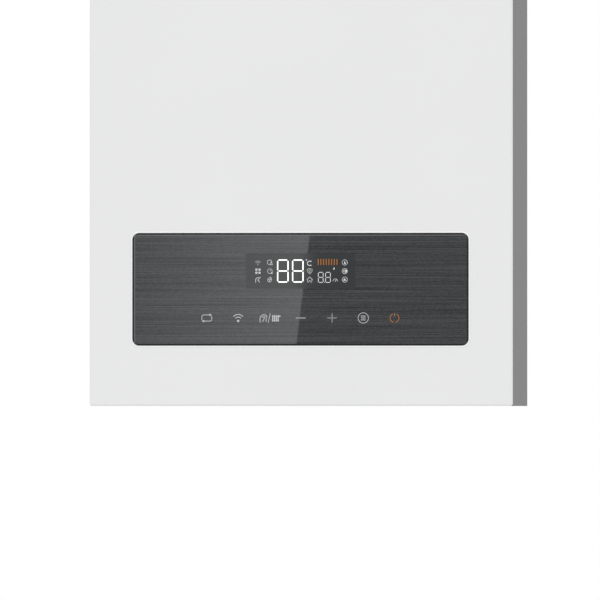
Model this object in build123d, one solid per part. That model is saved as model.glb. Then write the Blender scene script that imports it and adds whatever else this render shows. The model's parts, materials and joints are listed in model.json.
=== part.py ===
"""Wall-hung gas combi boiler: painted casing, glass control panel, sealed burner chamber and water circuit.

Millimetres. x runs to the right seen from the front, -y towards the front, z up.
The origin is on the wall, at mid width, level with the lower edge of the casing.
"""

from build123d import *
import math
import os

os.makedirs("parts", exist_ok=True)

# ---------------------------------------------------------------- driving sizes
CASE_WIDTH = 420.0
CASE_HEIGHT = 740.0
CASE_DEPTH = 320.0  # wall to the face of the front cover
SHEET = 1.0  # folded steel sheet of the casing and the burner chamber

COVER_RETURN = 22.0  # depth of the cover's folded edge
COVER_LIP = 12.0  # second fold of that edge, towards the middle
COVER_BEND = 2.5  # outside radius of the cover's bends
COVER_GAP = 0.5  # between the cover's lip and the side panels

GLASS_WIDTH = 334.0
GLASS_HEIGHT = 111.4
GLASS_THICKNESS = 3.0
GLASS_CORNER = 6.5
GLASS_ABOVE_EDGE = 60.2  # lower edge of the glass above the lower edge of the casing
GLASS_PROUD = 1.8  # in front of the cover's face
DISPLAY_WIDTH = 100.0
DISPLAY_HEIGHT = 32.0
DISPLAY_ABOVE_GLASS = 73.4  # middle of the display above the lower edge of the glass

TRAY_HEIGHT = 45.0  # recess under the tray that the pipe ends stand in
WALL_GAP = 12.0  # space behind the back frame, for the wall bracket

SIDE_DUCT = 14.0  # casing's side to the burner chamber
VESSEL_STANDOFF = 9.0  # back frame to the expansion vessel
VESSEL_DEPTH = 80.0
VESSEL_GAP = 10.0  # expansion vessel to the burner chamber
CHAMBER_BOTTOM = 292.0
LID_SETBACK = 34.0  # face of the cover to the front edge of the burner chamber

STUB_FROM_WALL = 105.0
FLOW_X = -140.0
HOT_WATER_X = -72.0
GAS_X = -8.0
COLD_WATER_X = 66.0
RETURN_X = 136.0
STUB_X = {
    "heating_flow": FLOW_X,
    "hot_water": HOT_WATER_X,
    "gas": GAS_X,
    "cold_water": COLD_WATER_X,
    "heating_return": RETURN_X,
}
THREAD_34 = 13.2  # outside radius of a G 3/4 thread
THREAD_12 = 10.5  # outside radius of a G 1/2 thread
STUB_THREAD = {
    "heating_flow": THREAD_34,
    "hot_water": THREAD_12,
    "gas": THREAD_34,
    "cold_water": THREAD_12,
    "heating_return": THREAD_34,
}
STUB_END = 8.0  # lower end of the pipe ends above the lower edge of the casing

PIPE_RADIUS = 9.0  # 18 mm copper pipe
PIPE_WALL = 1.0
GAS_PIPE_RADIUS = 6.0

SLIP = 0.1  # radial clearance of a pin, screw or pipe in its hole
APART = 0.3  # gap between neighbours on different moving bodies

# ---------------------------------------------------------------- shared stations
half_width = CASE_WIDTH / 2
inner_half = half_width - SHEET
roof = CASE_HEIGHT - SHEET  # underside of the top plate
cover_face = -CASE_DEPTH
cover_inside = cover_face + SHEET
cover_rear = cover_face + COVER_RETURN
panel_front = cover_rear + COVER_GAP
frame_rear = -WALL_GAP
frame_front = frame_rear - SHEET
tray_top = TRAY_HEIGHT + SHEET
chamber_half = half_width - SIDE_DUCT
chamber_front = cover_face + LID_SETBACK
vessel_rear = frame_front - VESSEL_STANDOFF
vessel_front = vessel_rear - VESSEL_DEPTH
chamber_rear = vessel_front - VESSEL_GAP
chamber_floor = CHAMBER_BOTTOM + SHEET
stub_y = -STUB_FROM_WALL

MID, LOW = Align.CENTER, Align.MIN
DIRECTIONS = {
    "+x": (1, 0, 0),
    "-x": (-1, 0, 0),
    "+y": (0, 1, 0),
    "-y": (0, -1, 0),
    "+z": (0, 0, 1),
    "-z": (0, 0, -1),
}


# ---------------------------------------------------------------- shapes used all over
def block(x0, x1, y0, y1, z0, z1):
    """Box between two corners."""
    centre = Pos((x0 + x1) / 2, (y0 + y1) / 2, (z0 + z1) / 2)
    return centre * Box(x1 - x0, y1 - y0, z1 - z0)


def upright(x, y, z):
    """Plane that faces the front, with its own x to the right and its own y up."""
    return Plane(origin=(x, y, z), x_dir=(1, 0, 0), z_dir=(0, -1, 0))


def slab(x, z, width, height, corner, y_rear, y_front):
    """Upright plate with rounded corners, centred on x and z."""
    outline = upright(x, y_rear, z) * RectangleRounded(width, height, corner)
    return extrude(outline, amount=y_rear - y_front)


def rod(x, y, z, towards, radius, length):
    """Cylinder that starts at a point and runs along an axis."""
    start = Plane(origin=(x, y, z), z_dir=DIRECTIONS[towards])
    return start * Cylinder(radius, length, align=(MID, MID, LOW))


def tube(x, y, z, towards, radius, bore, length):
    return rod(x, y, z, towards, radius, length) - rod(x, y, z, towards, bore, length)


def hexagon(x, y, z, towards, across_flats, length):
    start = Plane(origin=(x, y, z), z_dir=DIRECTIONS[towards])
    outline = start * RegularPolygon(across_flats / 2, 6, major_radius=False)
    return extrude(outline, amount=length)


def pipe(points, radius, bore, bend):
    """Pipe along straight runs joined by bends."""
    path = FilletPolyline(*points, radius=bend)
    start = Plane(origin=path @ 0, z_dir=path % 0)
    wall = sweep(start * Circle(radius), path=path)
    if bore:
        wall -= sweep(start * Circle(bore), path=path)
    return wall


def group(solids):
    """Separate pieces that share a node."""
    return Compound(children=list(solids))


def across_both(maker):
    """The same piece on the right and mirrored to the left."""
    right = maker()
    return [right, mirror(right, about=Plane.YZ)]


# ---------------------------------------------------------------- casing
FRONT_FOLD = 17.0  # side panels' fold behind the cover
REAR_FOLD = 14.0  # side panels' fold on the wall
FOLD_GAP = 1.0  # between a fold and the piece beside it
SIDE_BEND = 1.5
FLANGE = 12.0  # folds of the top plate and the tray
STUD_RADIUS = 3.0
STUD_LENGTH = 12.0
STUD_INSET = 7.0  # stud to the side panel's inner face
STUD_MARGIN = 60.0  # studs to the casing's lower and upper edges
STUD_HOLE = 4.5
FOOT_HEIGHT = 8.0  # back frame's foot that rests on the wall
HOOK_X = 100.0
HOOK_WIDTH = 40.0
HOOK_TOP = 702.0
BRACKET_SHEET = 2.0
BRACKET_HALF = 155.0
BRACKET_HEIGHT = 42.0
BRACKET_BOLT_X = 140.0
BRACKET_BOLT_RADIUS = 4.5
BRACKET_BOLT_BELOW_HOOK = 18.0
HOOK_UPTURN = 14.0
HOOK_REACH = 3.0  # in front of the back frame
HOOK_ROOM = 2.0  # hooks' play in the back frame's slots
RAIL_ABOVE_HOOK = 8.0

stud_x = inner_half - STUD_INSET


def side_panel():
    skin = block(inner_half, half_width, panel_front, 0, 0, CASE_HEIGHT)
    front = block(inner_half - FRONT_FOLD, inner_half, panel_front, panel_front + SHEET, 0, roof)
    rear = block(inner_half - REAR_FOLD, inner_half, -SHEET, 0, 0, roof)
    panel = skin + front + rear
    bends = panel.edges().filter_by(Axis.Z).group_by(Axis.X)[-1]
    panel = fillet(bends, SIDE_BEND)
    for z in (STUD_MARGIN, CASE_HEIGHT - STUD_MARGIN):
        panel -= rod(stud_x, panel_front - SHEET, z, "+y", STUD_HOLE, 3 * SHEET)
    return panel


def wall_bracket():
    """Rail bolted to the wall, with two hooks that carry the boiler."""
    top = HOOK_TOP + RAIL_ABOVE_HOOK
    rail = block(-BRACKET_HALF, BRACKET_HALF, -BRACKET_SHEET, 0, top - BRACKET_HEIGHT, top)
    reach = frame_front - HOOK_REACH
    for x in (-HOOK_X, HOOK_X):
        x0, x1 = x - HOOK_WIDTH / 2, x + HOOK_WIDTH / 2
        rail += block(x0, x1, reach, -BRACKET_SHEET, HOOK_TOP - BRACKET_SHEET, HOOK_TOP)
        rail += block(x0, x1, reach, reach + BRACKET_SHEET, HOOK_TOP, HOOK_TOP + HOOK_UPTURN)
    for x in (-BRACKET_BOLT_X, BRACKET_BOLT_X):
        z = HOOK_TOP - BRACKET_BOLT_BELOW_HOOK
        rail -= rod(x, -2 * BRACKET_SHEET, z, "+y", BRACKET_BOLT_RADIUS, 3 * BRACKET_SHEET)
    return rail


VESSEL_RADIUS = 165.0
VESSEL_WALL = 1.2
VESSEL_Z = 515.0
VESSEL_SHOULDER = 26.0
VESSEL_PAD_X = 60.0
VESSEL_PAD_WIDTH = 24.0
VESSEL_PAD_HEIGHT = 90.0

vessel_mid = (vessel_rear + vessel_front) / 2


def back_frame():
    """Carrier sheet with slots for the hooks, a foot on the wall and pads for the vessel."""
    frame = block(-inner_half, inner_half, frame_front, frame_rear, FOOT_HEIGHT - SHEET, roof)
    foot_half = inner_half - REAR_FOLD - FOLD_GAP
    frame += block(-foot_half, foot_half, frame_rear, 0, FOOT_HEIGHT - SHEET, FOOT_HEIGHT)
    frame += block(-foot_half, foot_half, -SHEET, 0, 0, FOOT_HEIGHT)
    z0, z1 = VESSEL_Z - VESSEL_PAD_HEIGHT / 2, VESSEL_Z + VESSEL_PAD_HEIGHT / 2
    for x in (-VESSEL_PAD_X, VESSEL_PAD_X):
        x0, x1 = x - VESSEL_PAD_WIDTH / 2, x + VESSEL_PAD_WIDTH / 2
        frame += block(x0, x1, vessel_rear, frame_front, z0, z1)
    for x in (-HOOK_X, HOOK_X):
        slot_half = HOOK_WIDTH / 2 + HOOK_ROOM
        slot_floor = HOOK_TOP - HOOK_UPTURN - HOOK_ROOM
        slot = block(x - slot_half, x + slot_half, frame_front - 1, frame_rear + 1, slot_floor, HOOK_TOP)
        frame -= slot
    return frame


FLUE_SETBACK = 96.0  # front of the burner chamber to the flue's axis
FLUE_INNER = 30.0  # outside radius of the exhaust spigot
FLUE_OUTER = 50.0  # outside radius of the air spigot
FLUE_WALL = 1.0
FLUE_FLANGE = 66.0
FLUE_FLANGE_THICKNESS = 3.0
FLUE_RISE = 36.0  # spigots above the top plate
FLUE_BOLT_CIRCLE = 116.0
FLUE_BOLT_COUNT = 4
FLUE_BOLT_RADIUS = 2.5
FLUE_BOLT_HEAD = 4.5
OUTLET_RADIUS = 25.0  # fan's outlet pipe
OUTLET_RISE = 16.0  # above the top plate
SEAL_HEIGHT = 12.0
SEAL_ABOVE_CASE = 2.0
FLUE_RIB_COUNT = 3
FLUE_RIB = 2.0
FLUE_RIB_HEIGHT = 10.0
FLUE_SHOULDER = 1.0  # thicker foot of the exhaust spigot, up to the top of the ribs
ROOT = 0.3  # how far a rib or blade runs into what carries it

flue_y = chamber_front + FLUE_SETBACK
flue_hole = FLUE_OUTER - FLUE_WALL


def flue_bolt_places():
    for k in range(FLUE_BOLT_COUNT):
        turn = math.radians(45 + 360 * k / FLUE_BOLT_COUNT)
        reach = FLUE_BOLT_CIRCLE / 2
        yield reach * math.cos(turn), flue_y + reach * math.sin(turn)


def top_plate():
    plate = block(-inner_half, inner_half, panel_front, 0, roof, CASE_HEIGHT)
    low = roof - FLANGE
    front_half = inner_half - FRONT_FOLD - FOLD_GAP
    plate += block(-front_half, front_half, panel_front, panel_front + SHEET, low, roof)
    rear_half = inner_half - REAR_FOLD - FOLD_GAP
    plate += block(-rear_half, rear_half, -SHEET, 0, low, roof)
    for x in (-inner_half, inner_half - SHEET):
        plate += block(x, x + SHEET, panel_front + SHEET + FOLD_GAP, frame_front - FOLD_GAP, low, roof)
    plate -= rod(0, flue_y, low, "+z", flue_hole, FLANGE + 2 * SHEET)
    for x, y in flue_bolt_places():
        plate -= rod(x, y, low, "+z", FLUE_BOLT_RADIUS + SLIP, FLANGE + 2 * SHEET)
    return plate


def flue_seal():
    """Rubber ring between the fan's outlet pipe and the exhaust spigot."""
    room = SLIP / 2
    outer, bore = FLUE_INNER - FLUE_WALL - room, OUTLET_RADIUS + room
    return tube(0, flue_y, CASE_HEIGHT + SEAL_ABOVE_CASE, "+z", outer, bore, SEAL_HEIGHT)


def flue_collar():
    """Cast air spigot on a bolted flange, and the exhaust spigot held by its three ribs."""
    base = CASE_HEIGHT
    rib_low = base + SEAL_ABOVE_CASE
    shoulder, bore = FLUE_INNER + FLUE_SHOULDER, FLUE_INNER - FLUE_WALL
    rise = rib_low + FLUE_RIB_HEIGHT - base
    exhaust = tube(0, flue_y, base, "+z", shoulder, bore, rise)
    exhaust += tube(0, flue_y, base, "+z", FLUE_INNER, bore, FLUE_RISE)
    collar = tube(0, flue_y, base, "+z", FLUE_FLANGE, flue_hole, FLUE_FLANGE_THICKNESS)
    collar += tube(0, flue_y, base, "+z", FLUE_OUTER, flue_hole, FLUE_RISE)
    half, high = FLUE_RIB / 2, rib_low + FLUE_RIB_HEIGHT
    for k in range(FLUE_RIB_COUNT):
        rib = block(FLUE_INNER, flue_hole + ROOT, -half, half, rib_low, high)
        collar += Pos(0, flue_y, 0) * Rot(0, 0, 360 * k / FLUE_RIB_COUNT) * rib
    collar -= rod(0, flue_y, base, "+z", shoulder, FLUE_RISE)
    for x, y in flue_bolt_places():
        collar -= rod(x, y, base - 1, "+z", FLUE_BOLT_RADIUS + SLIP, FLUE_FLANGE_THICKNESS + 2)
    return group([collar, exhaust])


CAPTIVE_SCREW_X = 120.0
CAPTIVE_SCREW_SETBACK = 14.0  # cover's face to the captive screws
CAPTIVE_SCREW_RADIUS = 2.0
CAPTIVE_TAB_WIDTH = 20.0
LIP_SETBACK = 8.0  # cover's face to the front edge of the tray's lip
HINGE_SETBACK = 9.0  # cover's face to the control box's hinge line
HINGE_HEIGHT = 56.0
TRUNNION_RADIUS = 4.0
TRUNNION_LENGTH = 8.0
EAR_THICKNESS = 3.0
EAR_GAP = 3.0
EAR_HEIGHT = 20.0
EAR_MARGIN = 2.0  # round the trunnion's hole
BOX_SIDE = 32.0  # casing's side to the control box

lip_front = cover_face + LIP_SETBACK
captive_y = cover_face + CAPTIVE_SCREW_SETBACK
hinge_y = cover_face + HINGE_SETBACK
box_half = half_width - BOX_SIDE
ear_inside = box_half + EAR_GAP

RELIEF_X = -100.0
RELIEF_FROM_WALL = 152.0
RELIEF_DRAIN_RADIUS = 6.0
RELIEF_DRAIN_WALL = 1.5
FILLER_X = 101.0
FILLER_SPINDLE = 4.0
GLAND_SIDE = 38.0  # casing's side to the cable gland
GLAND_FROM_WALL = 60.0
GLAND_RADIUS = 9.0
GLAND_BORE = 4.5
HOLE_MARGIN = 0.4

gland_x = half_width - GLAND_SIDE
gland_y = -GLAND_FROM_WALL
relief_y = -RELIEF_FROM_WALL


def bottom_tray():
    """Floor of the casing, with a front lip and two ears that carry the control box."""
    tray = block(-inner_half, inner_half, panel_front + SHEET, frame_front, TRAY_HEIGHT, tray_top)
    lip_half = inner_half - FRONT_FOLD - FOLD_GAP
    tray += block(-lip_half, lip_half, lip_front, panel_front + SHEET, TRAY_HEIGHT, tray_top)
    low = TRAY_HEIGHT - FLANGE
    for x in (-inner_half, inner_half - SHEET):
        tray += block(x, x + SHEET, panel_front + 2 * SHEET, frame_front, low, TRAY_HEIGHT)
    tray += block(-inner_half, inner_half, frame_front - SHEET, frame_front, low, TRAY_HEIGHT)

    def ear():
        front, rear = hinge_y - TRUNNION_RADIUS - EAR_MARGIN, panel_front + SHEET + 2 * EAR_MARGIN
        top = tray_top + EAR_HEIGHT
        plate = block(ear_inside, ear_inside + EAR_THICKNESS, front, rear, tray_top, top)
        plate += block(ear_inside + EAR_THICKNESS, lip_half, lip_front, rear, tray_top, tray_top + SHEET)
        hole = TRUNNION_RADIUS + SLIP
        return plate - rod(ear_inside - 1, hinge_y, HINGE_HEIGHT, "+x", hole, EAR_THICKNESS + 2)

    for piece in across_both(ear):
        tray += piece
    through = FLANGE
    for name, x in STUB_X.items():
        radius = STUB_THREAD[name] + HOLE_MARGIN
        tray -= rod(x, stub_y, TRAY_HEIGHT - 1, "+z", radius, through)
    for x, y, radius in (
        (RELIEF_X, relief_y, RELIEF_DRAIN_RADIUS + HOLE_MARGIN),
        (FILLER_X, stub_y, FILLER_SPINDLE + HOLE_MARGIN),
        (gland_x, gland_y, GLAND_RADIUS + SLIP),
    ):
        tray -= rod(x, y, TRAY_HEIGHT - 1, "+z", radius, through)
    slot = CAPTIVE_SCREW_RADIUS + HOLE_MARGIN
    for x in (-CAPTIVE_SCREW_X, CAPTIVE_SCREW_X):
        tray -= rod(x, captive_y, TRAY_HEIGHT - 1, "+z", slot, SHEET + 2)
        tray -= block(x - slot, x + slot, lip_front - 1, captive_y, TRAY_HEIGHT - 1, tray_top + 1)
    return tray


SCREW_RADIUS = 1.9
SCREW_HEAD = 4.0
SCREW_HEAD_HEIGHT = 2.2
SCREW_SHANK = 10.0
CAPTIVE_NUT_FLATS = 7.0
CAPTIVE_NUT_HEIGHT = 3.0
CLIP_RADIUS = 6.0
CLIP_LENGTH = 8.0


def screw(x, y, z, towards, shank, radius=SCREW_RADIUS, head=SCREW_HEAD):
    """Pan-head screw whose head sits at the point and whose shank runs on from there."""
    backwards = {"+": "-", "-": "+"}[towards[0]] + towards[1]
    cap = rod(x, y, z, backwards, head, SCREW_HEAD_HEIGHT)
    return cap + rod(x, y, z, towards, radius, shank)


def case_fixings():
    """Flue collar's screws and the spring clips that hold the cover's studs."""
    pieces = []
    collar_top = CASE_HEIGHT + FLUE_FLANGE_THICKNESS
    for x, y in flue_bolt_places():
        pieces.append(screw(x, y, collar_top, "-z", SCREW_SHANK, FLUE_BOLT_RADIUS, FLUE_BOLT_HEAD))
    for x in (-stud_x, stud_x):
        for z in (STUD_MARGIN, CASE_HEIGHT - STUD_MARGIN):
            clip = (x, panel_front + SHEET, z, "+y", CLIP_RADIUS, STUD_RADIUS + APART, CLIP_LENGTH)
            pieces.append(tube(*clip))
    return group(pieces)


# ---------------------------------------------------------------- front cover
BEZEL_RIM = 1.4  # visible width of the white rim round the glass
BEZEL_PROUD = 0.9
BEZEL_SLEEVE = 0.8
BEZEL_DEPTH = 2.6  # sleeve behind the cover's face
BEZEL_ROUND = 0.54
GLASS_BEVEL = 0.8

glass_mid = GLASS_ABOVE_EDGE + GLASS_HEIGHT / 2
glass_front = cover_face - GLASS_PROUD
glass_rear = glass_front + GLASS_THICKNESS


def glass_outline(grow, y_rear, y_front):
    """Plate with the glass's outline, larger by grow on every side."""
    width, height = GLASS_WIDTH + 2 * grow, GLASS_HEIGHT + 2 * grow
    return slab(0, glass_mid, width, height, GLASS_CORNER + grow, y_rear, y_front)


def front_cover():
    """Folded cover with the window, captive-screw tabs and clip studs."""

    def shell(inset, y0, y1, radius):
        x, z0, z1 = half_width - inset, inset, CASE_HEIGHT - inset
        solid = block(-x, x, y0, y1, z0, z1)
        bends = solid.edges().filter_by(Axis.Y) + solid.faces().sort_by(Axis.Y)[0].edges()
        return fillet(bends, radius)

    cover = shell(0, cover_face, cover_rear, COVER_BEND)
    cover -= shell(SHEET, cover_inside, cover_rear - SHEET, COVER_BEND - SHEET)
    reach, edge = half_width - SHEET - COVER_LIP, SHEET + COVER_LIP
    cover -= block(-reach, reach, cover_rear - 2 * SHEET, cover_rear + 1, edge, CASE_HEIGHT - edge)
    window = APART + BEZEL_SLEEVE + SLIP
    cover -= glass_outline(window, cover_inside + 1, cover_face - 1)
    tab_top = TRAY_HEIGHT - APART
    for x in (-CAPTIVE_SCREW_X, CAPTIVE_SCREW_X):
        half = CAPTIVE_TAB_WIDTH / 2
        tab = block(x - half, x + half, cover_inside, cover_rear - 2 * SHEET, tab_top - SHEET, tab_top)
        hole = rod(x, captive_y, tab_top - 2 * SHEET, "+z", CAPTIVE_SCREW_RADIUS + SLIP, 3 * SHEET)
        cover += tab - hole
    for x in (-stud_x, stud_x):
        for z in (STUD_MARGIN, CASE_HEIGHT - STUD_MARGIN):
            cover += rod(x, cover_rear, z, "+y", STUD_RADIUS, STUD_LENGTH)
    return cover


def window_bezel():
    """Thin white rim round the glass, with a sleeve through the cover's window."""
    rim = glass_outline(APART + BEZEL_RIM, cover_face, cover_face - BEZEL_PROUD)
    front = rim.faces().sort_by(Axis.Y)[0]
    rim = fillet(front.edges(), BEZEL_ROUND)
    rim += glass_outline(APART + BEZEL_SLEEVE, cover_face + BEZEL_DEPTH, cover_face)
    return rim - glass_outline(APART, cover_face + BEZEL_DEPTH + 1, cover_face - BEZEL_PROUD - 1)


def cover_screws():
    """Captive screws that hold the cover's tabs under the tray's lip, with their nuts."""
    under_tab = TRAY_HEIGHT - APART - SHEET
    nut_low = tray_top + APART
    pieces = []
    for x in (-CAPTIVE_SCREW_X, CAPTIVE_SCREW_X):
        shank = nut_low + CAPTIVE_NUT_HEIGHT - under_tab
        piece = screw(x, captive_y, under_tab, "+z", shank, CAPTIVE_SCREW_RADIUS)
        nut = hexagon(x, captive_y, nut_low, "+z", CAPTIVE_NUT_FLATS, CAPTIVE_NUT_HEIGHT)
        pieces.append(piece + nut)
    return group(pieces)


# ---------------------------------------------------------------- control box
BOX_BOTTOM = 50.0
BOX_TOP = 182.0
BOX_SETBACK = 3.0  # cover's face to the box's front wall
BOX_DEPTH = 55.0
BOX_WALL = 2.5
BOX_LID = 2.5
BOX_CORNER = 4.0
GLASS_SEAT_INSET = 2.0  # box's raised face inside the glass's edge
POST_RADIUS = 4.0
POST_INSET = 18.0  # main board's posts to the box's outside
BOARD = 1.6
DISPLAY_BOARD_GAP = 3.0
DISPLAY_BOARD_SIDE = 10.0  # main board's posts to the display board
DISPLAY_BOARD_HEIGHT = 96.0
MAIN_BOARD_BEHIND = 35.0  # main board behind the box's front
MAIN_BOARD_MARGIN = 12.0
DISPLAY_CLEAR = 1.0
DISPLAY_BEHIND_GLASS = 0.2
DISPLAY_POST_INSET = 8.0
VENT_SLOT_COUNT = 12
VENT_SLOT_PITCH = 8.0
VENT_SLOT_WIDTH = 3.0
VENT_SLOT_LENGTH = 30.0
VENT_SLOT_X = -150.0
VENT_SLOT_BELOW_TOP = 20.0
CABLE_SLOT_X = (60.0, 150.0)
CABLE_SLOT_HEIGHT = 9.0

box_front = cover_face + BOX_SETBACK
box_rear = box_front + BOX_DEPTH
display_mid = GLASS_ABOVE_EDGE + DISPLAY_ABOVE_GLASS
display_board_front = box_front + BOX_WALL + DISPLAY_BOARD_GAP
main_board_front = box_front + MAIN_BOARD_BEHIND
post_x = box_half - POST_INSET
display_board_half = post_x - DISPLAY_BOARD_SIDE
post_z = (BOX_BOTTOM + POST_INSET, BOX_TOP - POST_INSET)


def control_box_base():
    """Plastic tray behind the glass, with the boards' posts and the hinge trunnions."""
    base = block(-box_half, box_half, box_front, box_rear, BOX_BOTTOM, BOX_TOP)
    base = fillet(base.edges().filter_by(Axis.Y), BOX_CORNER)
    inside = box_half - BOX_WALL
    low, high = BOX_BOTTOM + BOX_WALL, BOX_TOP - BOX_WALL
    base -= block(-inside, inside, box_front + BOX_WALL, box_rear + 1, low, high)
    base += glass_outline(-GLASS_SEAT_INSET, box_front, glass_rear)
    cut = DISPLAY_CLEAR
    width, height = DISPLAY_WIDTH + 2 * cut, DISPLAY_HEIGHT + 2 * cut
    base -= slab(0, display_mid, width, height, 1, box_front + BOX_WALL + 1, glass_rear - 1)
    wall = box_front + BOX_WALL
    for x in (-post_x, post_x):
        for z in post_z:
            base += rod(x, wall, z, "+y", POST_RADIUS, main_board_front - wall)
    board_x = display_board_half - DISPLAY_POST_INSET
    board_z = DISPLAY_BOARD_HEIGHT / 2 - DISPLAY_POST_INSET
    for x in (-board_x, board_x):
        for z in (glass_mid - board_z, glass_mid + board_z):
            base += rod(x, wall, z, "+y", POST_RADIUS, DISPLAY_BOARD_GAP)
    for x, way in ((box_half, "+x"), (-box_half, "-x")):
        base += rod(x, hinge_y, HINGE_HEIGHT, way, TRUNNION_RADIUS, TRUNNION_LENGTH)
    return base


def control_box_lid():
    """Rear lid of the control box, with a cable slot and vent slots."""
    lid = block(-box_half, box_half, box_rear, box_rear + BOX_LID, BOX_BOTTOM, BOX_TOP)
    lid = fillet(lid.edges().filter_by(Axis.Y), BOX_CORNER)
    y0, y1 = box_rear - 1, box_rear + BOX_LID + 1
    lid -= block(*CABLE_SLOT_X, y0, y1, BOX_BOTTOM - 1, BOX_BOTTOM + CABLE_SLOT_HEIGHT)
    high = BOX_TOP - VENT_SLOT_BELOW_TOP
    for k in range(VENT_SLOT_COUNT):
        x = VENT_SLOT_X + VENT_SLOT_PITCH * k
        lid -= block(x, x + VENT_SLOT_WIDTH, y0, y1, high - VENT_SLOT_LENGTH, high)
    return lid


def touch_glass():
    plate = glass_outline(0, glass_rear, glass_front)
    front = plate.faces().sort_by(Axis.Y)[0]
    return chamfer(front.edges(), GLASS_BEVEL)


def display_board():
    """Board behind the glass and the lit display module on it."""
    half, tall = display_board_half, DISPLAY_BOARD_HEIGHT / 2
    y = display_board_front
    board = block(-half, half, y, y + BOARD, glass_mid - tall, glass_mid + tall)
    x, z = DISPLAY_WIDTH / 2, DISPLAY_HEIGHT / 2
    module = block(-x, x, glass_rear + DISPLAY_BEHIND_GLASS, y, display_mid - z, display_mid + z)
    return group([board, module])


# what stands on the main board: left edge, lower edge above the board's, width, height, depth
TRANSFORMER = (-140.0, 14.0, 44.0, 36.0, 22.0)
IGNITION_UNIT = (70.0, 50.0, 60.0, 36.0, 18.0)
FUSE_HOLDER = (48.0, 20.0, 40.0, 6.0, 12.0)
RELAY = (-80.0, 60.0, 16.0, 13.0, 16.0)
RELAY_COUNT = 5
RELAY_PITCH = 22.0
SOCKET = (-130.0, 4.0, 24.0, 10.0, 12.0)
SOCKET_COUNT = 7
SOCKET_PITCH = 38.0
CAPACITOR_X = -60.0
CAPACITOR_ABOVE_EDGE = 30.0
CAPACITOR_RADIUS = 6.5
CAPACITOR_HEIGHT = 18.0
CAPACITOR_COUNT = 4
CAPACITOR_PITCH = 20.0


def main_board():
    """Power board on the posts, with its relays, transformer, capacitors and plug sockets."""
    half = box_half - MAIN_BOARD_MARGIN
    low, high = BOX_BOTTOM + MAIN_BOARD_MARGIN, BOX_TOP - MAIN_BOARD_MARGIN
    face, rear = main_board_front, main_board_front + BOARD

    def component(place, shift=0.0, on_rear=False):
        x, above, width, height, depth = place
        y0, y1 = (rear, rear + depth) if on_rear else (face - depth, face)
        return block(x + shift, x + shift + width, y0, y1, low + above, low + above + height)

    pieces = [block(-half, half, face, rear, low, high)]
    pieces += [component(place) for place in (TRANSFORMER, IGNITION_UNIT, FUSE_HOLDER)]
    pieces += [component(RELAY, RELAY_PITCH * k) for k in range(RELAY_COUNT)]
    for k in range(CAPACITOR_COUNT):
        x, z = CAPACITOR_X + CAPACITOR_PITCH * k, low + CAPACITOR_ABOVE_EDGE
        pieces.append(rod(x, face, z, "-y", CAPACITOR_RADIUS, CAPACITOR_HEIGHT))
    pieces += [component(SOCKET, SOCKET_PITCH * k, on_rear=True) for k in range(SOCKET_COUNT)]
    return group(pieces)


# ---------------------------------------------------------------- sealed burner chamber
CHAMBER_FOLD = 18.0  # front fold that the lid is screwed to
GASKET = 1.7
LID_RIM = 6.0
LID_INSET = 4.0  # chamber's outside to the lid's edge
LID_SCREW_ROWS = 4
LID_SCREW_INSET = 11.0  # from the chamber's outside
LID_SCREW_SHANK = 5.0
SIGHT_RADIUS = 16.0
SIGHT_Z = 396.0
SIGHT_FRAME = 25.0
SIGHT_GLASS = 2.0
SIGHT_LEDGE = 4.0  # glass wider than the hole
SIGHT_RING_COVER = 1.2  # ring in front of the glass
TAB_STATIONS = (CHAMBER_BOTTOM + 30.0, CASE_HEIGHT - 120.0)  # heights of the side tabs
TAB_FRONT = 12.0  # behind the chamber's front
TAB_REAR = 12.0  # in front of the chamber's rear
TAB_WIDTH = 30.0
TAB_THICKNESS = 1.5
GAS_FEED_SETBACK = 8.0  # gas pipe behind the chamber's front

RISER_SIDE = 28.0  # chamber's side to the risers
riser_x = chamber_half - RISER_SIDE
gas_feed_y = chamber_front + GAS_FEED_SETBACK
gas_feed_x = STUB_X["gas"]

gasket_rear = chamber_front - APART
lid_rear = gasket_rear - GASKET
lid_front = lid_rear - SHEET
lid_half = chamber_half - LID_INSET
lid_low, lid_high = CHAMBER_BOTTOM + LID_INSET, roof - LID_INSET


def lid_screw_places():
    """Screws up both sides and in the middle of the lower and upper edges."""
    x = chamber_half - LID_SCREW_INSET
    low, high = CHAMBER_BOTTOM + LID_SCREW_INSET, roof - LID_SCREW_INSET
    for k in range(LID_SCREW_ROWS):
        z = low + (high - low) * k / (LID_SCREW_ROWS - 1)
        yield -x, z
        yield x, z
    yield x / 3, low
    yield -x / 3, low
    yield x / 3, high
    yield -x / 3, high


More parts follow.
